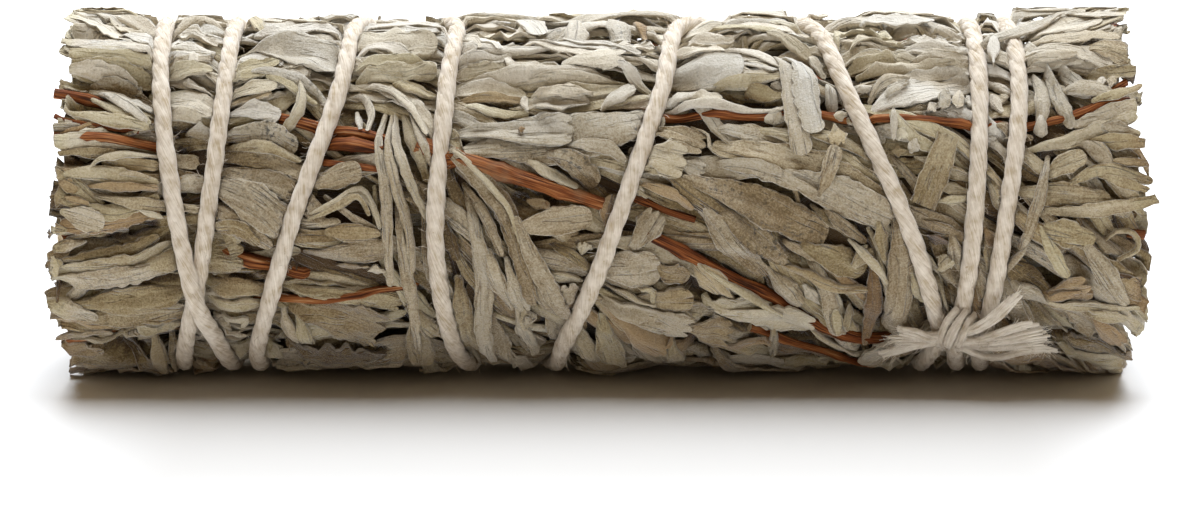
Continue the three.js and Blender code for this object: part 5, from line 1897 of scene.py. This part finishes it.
def strand_lines(table, rng, loose):
    """The strands of each bundle, as lines of points in millimetres and the thickness at each point.

    loose adds thin stray fibres that fluff out past the end of each bundle."""
    lines = []
    t = np.linspace(0, 1, STRAND_POINTS)
    for row in rows_of(table):
        count, thick, tip, wide_start, wide_end, *places = [float(word) for word in row]
        x, angle, radius = np.reshape(places, (-1, 3)).T
        middle = smooth_path(placed(x, angle * MM_PER_DEGREE, radius), STRAND_POINTS)
        ahead = unit(np.gradient(middle, axis=0))
        out = middle - [0, 0, AXIS_HEIGHT]
        out[:, 0] = 0
        out = unit(out)
        aside = np.cross(ahead, out)
        wide = wide_start + (wide_end - wide_start) * ease((t - 0.2) / 0.8)
        for strand in range(int(count)):
            from_middle = math.sqrt((strand + 0.5) / count)
            turn = strand * GOLDEN_ANGLE + 0.15
            ripple = 0.06 * np.sin(rng.uniform(3, 8) * t + rng.uniform(0, 6))
            across = from_middle * math.cos(turn) * wide + ripple
            deep = from_middle * math.sin(turn) * 0.7 * wide_start * (1 - 0.4 * t)
            line = middle + aside * across[:, None] + out * deep[:, None]
            size = thick + (tip - thick) * ease((t - 0.6) / 0.4)
            size *= 1 + 0.12 * np.sin(rng.uniform(5, 14) * t + rng.uniform(0, 6))
            kept = rng.integers(22, 27) if loose else STRAND_POINTS
            lines.append((line[:kept], size[:kept]))
        for _ in range(FLUFF * loose):
            start = rng.integers(15, 24)
            steps = np.linspace(0, 1, 7)[:, None]
            spread = rng.uniform(-1, 1, 2)
            root = middle[start] + aside[start] * spread[0] * wide[start] + out[start] * 0.2 * spread[1]
            reach = rng.uniform(0.6, 1.8)
            bow = aside[start] * (spread[0] + rng.normal(0, 0.5)) + out[start] * rng.uniform(-0.2, 0.7)
            lines.append((root + reach * (steps * ahead[start] + 0.6 * steps**2 * bow), np.full(7, 0.018)))
    return lines


# ---- What a user would change ----


class SmudgeSizes(bpy.types.PropertyGroup):
    """Sizes and counts of the smudge stick."""

    seed: bpy.props.IntProperty(name="Seed", description="Which way the loose leaves fall", default=4)
    base_leaves: bpy.props.IntProperty(
        name="Base leaves", description="Broad leaves laid first", default=620, min=1
    )
    cover_leaves: bpy.props.IntProperty(
        name="Cover leaves", description="Narrower leaves laid over them", default=1000, min=1
    )
    top_leaves: bpy.props.IntProperty(
        name="Top leaves", description="Narrow rippled leaves along the top", default=420, min=0
    )
    back_leaves: bpy.props.IntProperty(
        name="Back leaves", description="Broad leaves on the back", default=110, min=0
    )
    small_leaves: bpy.props.IntProperty(
        name="Small leaves", description="Broken leaves that fill the hollows", default=260, min=0
    )
    leaf_thickness: bpy.props.FloatProperty(
        name="Leaf thickness", description="Thickness of a dried leaf", default=0.34 * MM, unit="LENGTH"
    )
    end_spacing: bpy.props.FloatProperty(
        name="End spacing",
        description="Room that each packed leaf has at the cut ends",
        default=1.2 * MM,
        unit="LENGTH",
    )
    string_diameter: bpy.props.FloatProperty(
        name="String diameter",
        description="Thickness of the cotton string",
        default=STRING_DIAMETER * MM,
        unit="LENGTH",
    )
    string_plies: bpy.props.IntProperty(
        name="Plies", description="Strands twisted into the string", default=3, min=2
    )
    string_twist: bpy.props.FloatProperty(
        name="Twist length", description="Length of string for one turn", default=6.6 * MM, unit="LENGTH"
    )
    fibre_length: bpy.props.FloatProperty(
        name="Fibre length", description="Length of the loose cotton fibres", default=0.9 * MM, unit="LENGTH"
    )


class SmudgeColours(bpy.types.PropertyGroup):
    """Colours of the smudge stick, as sRGB hex."""

    # The leaf rim colour is a painted highlight along the leaves' edges.
    rim: bpy.props.StringProperty(name="Leaf rim", description="Pale rim of a leaf", default="#E4DCCB")
    speck: bpy.props.StringProperty(name="Speck", description="Dark specks on a leaf", default="#2F2A24")
    old_bark: bpy.props.StringProperty(name="Old bark", description="Weathered bark", default="#8A7458")
    pith: bpy.props.StringProperty(name="Pith", description="Cut face of a stem", default="#CDB891")
    cotton: bpy.props.StringProperty(name="Cotton", description="Cotton string", default="#D3C5B1")
    cotton_shade: bpy.props.StringProperty(
        name="Cotton shade", description="Cotton between the fibres", default="#B4A184"
    )


# The camera looks level along y, from this far off and this high up.
CAMERA_DISTANCE = 480.0
CAMERA_ELEVATION = 10.0
CAMERA_LENS = 151.0
CAMERA_SHIFT = -0.052
# The floor's tone in the light it gives back, and its colour as the eye sees it, beside the stick and away from
# it, where it is painted paler as painted light that lightens the stick's shadow. The one turns into the other
# between these distances along x and along y.
FLOOR_HALF = 4.0
FLOOR_TONE = 0.92
FLOOR_SEEN = (0.55, 0.525, 0.49, 1.0)
FLOOR_PAINTED_PALER = (0.82, 0.8, 0.77, 1.0)
SHADOW_FADES = ((36.0, 57.0), (42.0, 75.0))
ROOM_LIGHT = 0.285
ROOM_COLOUR = "#FFE5C0"
WHITE = (1.0, 1.0, 1.0, 1.0)
# The lamp's name, place, size and power.
LAMP = ("overhead_softbox", (0.04, 0.42, 0.9), (0.8, 1.75), 37.5)
LAMP_COLOUR = "#EAF3FF"


class SMUDGE_OT_stage(bpy.types.Operator):
    """Sets the camera, the pale floor and the soft light."""

    bl_idname = "smudge.stage"
    bl_label = "Stage"

    def execute(self, context):
        scene = context.scene
        scene.view_settings.view_transform = "Standard"
        lens = bpy.data.cameras.new("camera")
        lens.lens = CAMERA_LENS
        lens.shift_y = CAMERA_SHIFT
        lens.clip_start = 0.01
        camera = add_object("camera", lens)
        tilt = math.radians(CAMERA_ELEVATION)
        back = CAMERA_DISTANCE * MM
        camera.location = (0, -back * math.cos(tilt), AXIS_HEIGHT * MM + back * math.sin(tilt))
        camera.rotation_euler = (math.pi / 2 - tilt, 0, 0)
        scene.camera = camera
        self.floor()
        self.lights(scene)
        return {"FINISHED"}

    def floor(self):
        mesh = bpy.data.meshes.new("pale_floor")
        corners = [(FLOOR_HALF * x, FLOOR_HALF * y, 0) for x, y in ((-1, -1), (1, -1), (1, 1), (-1, 1))]
        mesh.from_pydata(corners, [], [(0, 1, 2, 3)])
        material, add, shader = new_material("white_card")
        rays = add("ShaderNodeLightPath").outputs
        seen = {0: rays["Is Camera Ray"], 1: rays["Is Glossy Ray"]}
        seen = add("ShaderNodeMath", seen, operation="MAXIMUM")
        # Painted light: the card is painted paler away from the stick and past its ends, which lightens the
        # stick's shadow there.
        place = add("ShaderNodeTexCoord").outputs["Object"]
        axes = add("ShaderNodeSeparateXYZ", {0: place}).outputs
        away = {}
        for axis, (near, far) in enumerate(SHADOW_FADES):
            off = add("ShaderNodeMath", {0: axes[axis]}, operation="ABSOLUTE")
            off = {0: off, 1: near * MM, 2: far * MM, 3: 0.0, 4: 1.0}
            away[axis] = add("ShaderNodeMapRange", off, interpolation_type="SMOOTHSTEP")
        paler = add("ShaderNodeMath", away, operation="MAXIMUM")
        shade = add("ShaderNodeMix", data_type="RGBA")
        feed(shade, {0: paler, 6: FLOOR_SEEN, 7: FLOOR_PAINTED_PALER})
        white = add("ShaderNodeMix", data_type="RGBA")
        feed(white, {0: seen, 6: (FLOOR_TONE,) * 3 + (1,), 7: shade})
        card = add("ShaderNodeBsdfDiffuse", {"Color": white})
        feed(shader.outputs[0].links[0].to_node, {"Surface": card})
        material.node_tree.nodes.remove(shader)
        mesh.materials.append(material)
        add_object("pale_floor", mesh)

    def lights(self, scene):
        world = bpy.data.worlds.new("soft_room")
        world.use_nodes = True
        world.node_tree.nodes.clear()
        add = functools.partial(add_node, world.node_tree)
        seen = add("ShaderNodeLightPath").outputs["Is Camera Ray"]
        glow = add("ShaderNodeMix", {0: seen, 2: ROOM_LIGHT, 3: 1.0}, data_type="FLOAT")
        room = add("ShaderNodeMix", {0: seen, 6: linear(ROOM_COLOUR), 7: WHITE}, data_type="RGBA")
        sky = add("ShaderNodeBackground", {"Color": room, "Strength": glow})
        add("ShaderNodeOutputWorld", {"Surface": sky})
        scene.world = world
        name, place, size, power = LAMP
        lamp = bpy.data.lights.new(name, "AREA")
        lamp.shape = "RECTANGLE"
        lamp.size, lamp.size_y = size
        lamp.energy = power
        lamp.color = linear(LAMP_COLOUR)[:3]
        holder = add_object(name, lamp)
        holder.location = place
        x, y, z = -np.array(place, float)
        holder.rotation_euler = (math.atan2(math.hypot(x, y), -z), 0, math.atan2(y, x) - math.pi / 2)


class SMUDGE_OT_sprigs(bpy.types.Operator):
    """Lays the sprigs' leaves, on the outside of the stick and packed at its cut ends."""

    bl_idname = "smudge.sprigs"
    bl_label = "Sprig leaves"

    def execute(self, context):
        bundle = laid_bundle()
        piles = {k: MeshPile(f"sage_leaves_{k:02d}") for k in range(1, FIRST_OUTER_SPRIG + OUTER_SPRIGS)}
        for mesh in bundle.leaves:
            add_leaf(piles[mesh["piece"]], mesh, bundle.radius_of(mesh), bundle.target)
        fill_ends(piles, bundle, context.scene.smudge_sizes.end_spacing / MM)
        for number, pile in piles.items():
            fasten(pile.build(finish_of("leaf")), "leaf", f"sprig_leaves_{number:02d}")
        return {"FINISHED"}


class SMUDGE_OT_stems(bpy.types.Operator):
    """Adds the sprigs' woody stems, with their knots and cut faces."""

    bl_idname = "smudge.stems"
    bl_label = "Stems"

    def execute(self, context):
        bundle = laid_bundle()
        rng = np.random.default_rng(STEMS_SEED)
        piles = {k: MeshPile(f"sage_stem_{k:02d}") for k in range(1, FIRST_OUTER_SPRIG + OUTER_SPRIGS)}
        for stem in bundle.stems:
            x, s = stem["line"][:, 0], stem["line"][:, 1]
            radius = stem["level"] + bundle.offset.read(x, s)
            radius = np.minimum(radius, bundle.target.read(x, s) + STEM_STANDS)
            radius = np.minimum(radius, bundle.limit.read(x, s) - stem["radius"])
            line = placed(x, s, above_floor(radius + stem["radius"], s) - stem["radius"])
            tone, grey = rng.uniform(0.45, 0.68), rng.uniform(0, 0.3)
            add_stem(piles[stem["sprig"]], line, stem["radius"], rng, tone, grey)
        self.inner_stems(piles, rng)
        for number, pile in piles.items():
            fasten(pile.build(finish_of("stem")), "stem", f"sprig_stem_{number:02d}")
        return {"FINISHED"}

    def inner_stems(self, piles, rng, count=24):
        """The stems of the core and of the middle ring, which show only at the cut ends."""
        for number in range(1, INNER_SPRIGS + 1):
            low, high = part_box(f"sprig_stem_{number:02d}")
            x = np.linspace(low.x, high.x, count) / MM
            middle = np.array([(low.y + high.y) / 2, (low.z + high.z) / 2]) / MM
            sway = 0.3 * np.sin(x / 9 + rng.uniform(0, 6))
            line = np.stack([x, middle[0] + sway, middle[1] + sway[::-1]], axis=1)
            radius = np.linspace(0.75, 0.55, count) * rng.uniform(0.8, 1.2)
            add_stem(piles[number], line, radius, rng, rng.uniform(0.3, 0.6), rng.uniform(0, 0.3))


class SMUDGE_OT_loose_leaves(bpy.types.Operator):
    """Adds the leaves that lie loose over the string and the stems."""

    bl_idname = "smudge.loose_leaves"
    bl_label = "Loose leaves"

    def execute(self, context):
        bundle = laid_bundle()
        nodes = sorted(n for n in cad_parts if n.startswith(("outer_leaf", "under_leaf")))
        share = np.array_split(nodes, len(bundle.loose))
        for number, (mesh, stands_for) in enumerate(zip(bundle.loose, share), 1):
            pile = MeshPile(f"loose_leaf_{number:02d}")
            radius = np.where(mesh["h"] > SOFT_TOP, SOFT_TOP + 0.5 * (mesh["h"] - SOFT_TOP), mesh["h"])
            radius = np.minimum(radius, TOP_RADIUS + 0.1)
            add_leaf(pile, mesh, above_floor(radius, mesh["s"]), bundle.target)
            fasten(pile.build(finish_of("leaf")), "leaf", *[str(n) for n in stands_for])
        return {"FINISHED"}


class SMUDGE_OT_string(bpy.types.Operator):
    """Winds the cotton string round the stick and ties its knot."""

    bl_idname = "smudge.string"
    bl_label = "String"

    def execute(self, context):
        sizes = context.scene.smudge_sizes
        plies = string_tree("plied_string", sizes.string_plies, finish_of("string"))
        radius = sizes.string_diameter / 2
        settings = {
            "Ply Radius": 0.72 * radius,
            "Ply Offset": 0.21 * radius,
            "Twist Length": -sizes.string_twist,
            "Fibre Length": sizes.fibre_length,
            "Fibres Per Square Metre": FIBRES_PER_SQUARE_METRE,
            "Seed": FIBRES_SEED,
        }
        x, s, r = laid_bundle().string.T
        wound = wind_string("cotton_string", [placed(x, s, r)], [np.ones(len(x))], plies, settings)
        fasten(wound, "string", "binding_string")
        loose = string_tree("loose_plies", 1, finish_of("string"))
        settings |= {"Ply Radius": MM, "Ply Offset": 0.0}
        rng = np.random.default_rng(STRANDS_SEED)
        for name, bundles, fluffy in (("string_knot", TIES, False), ("frayed_ends", TAILS, True)):
            lines, sizes = zip(*strand_lines(bundles, rng, fluffy))
            fasten(wind_string(name, lines, sizes, loose, settings), "string", "binding_string")
        return {"FINISHED"}


class SMUDGE_PT_panel(bpy.types.Panel):
    """Lists the steps that make the stick, with its sizes and colours."""

    bl_idname = "SMUDGE_PT_panel"
    bl_label = "Smudge stick"
    bl_space_type = "VIEW_3D"
    bl_region_type = "UI"
    bl_category = "Smudge stick"

    def draw(self, context):
        layout = self.layout
        for group in (context.scene.smudge_sizes, context.scene.smudge_colours):
            box = layout.box()
            for name in group.bl_rna.properties.keys():
                if name not in ("rna_type", "name"):
                    box.prop(group, name)
        for operator in OPERATORS:
            layout.operator(operator.bl_idname)


OPERATORS = (SMUDGE_OT_stage, SMUDGE_OT_sprigs, SMUDGE_OT_stems, SMUDGE_OT_string, SMUDGE_OT_loose_leaves)
CLASSES = (SmudgeSizes, SmudgeColours, *OPERATORS, SMUDGE_PT_panel)


def register():
    for cls in CLASSES:
        bpy.utils.register_class(cls)
    bpy.types.Scene.smudge_sizes = bpy.props.PointerProperty(type=SmudgeSizes)
    bpy.types.Scene.smudge_colours = bpy.props.PointerProperty(type=SmudgeColours)


def unregister():
    del bpy.types.Scene.smudge_colours
    del bpy.types.Scene.smudge_sizes
    for cls in reversed(CLASSES):
        bpy.utils.unregister_class(cls)


def main():
    register()
    bpy.ops.smudge.stage()
    bpy.ops.smudge.sprigs()
    bpy.ops.smudge.stems()
    bpy.ops.smudge.string()
    bpy.ops.smudge.loose_leaves()


if __name__ == "__main__":
    main()
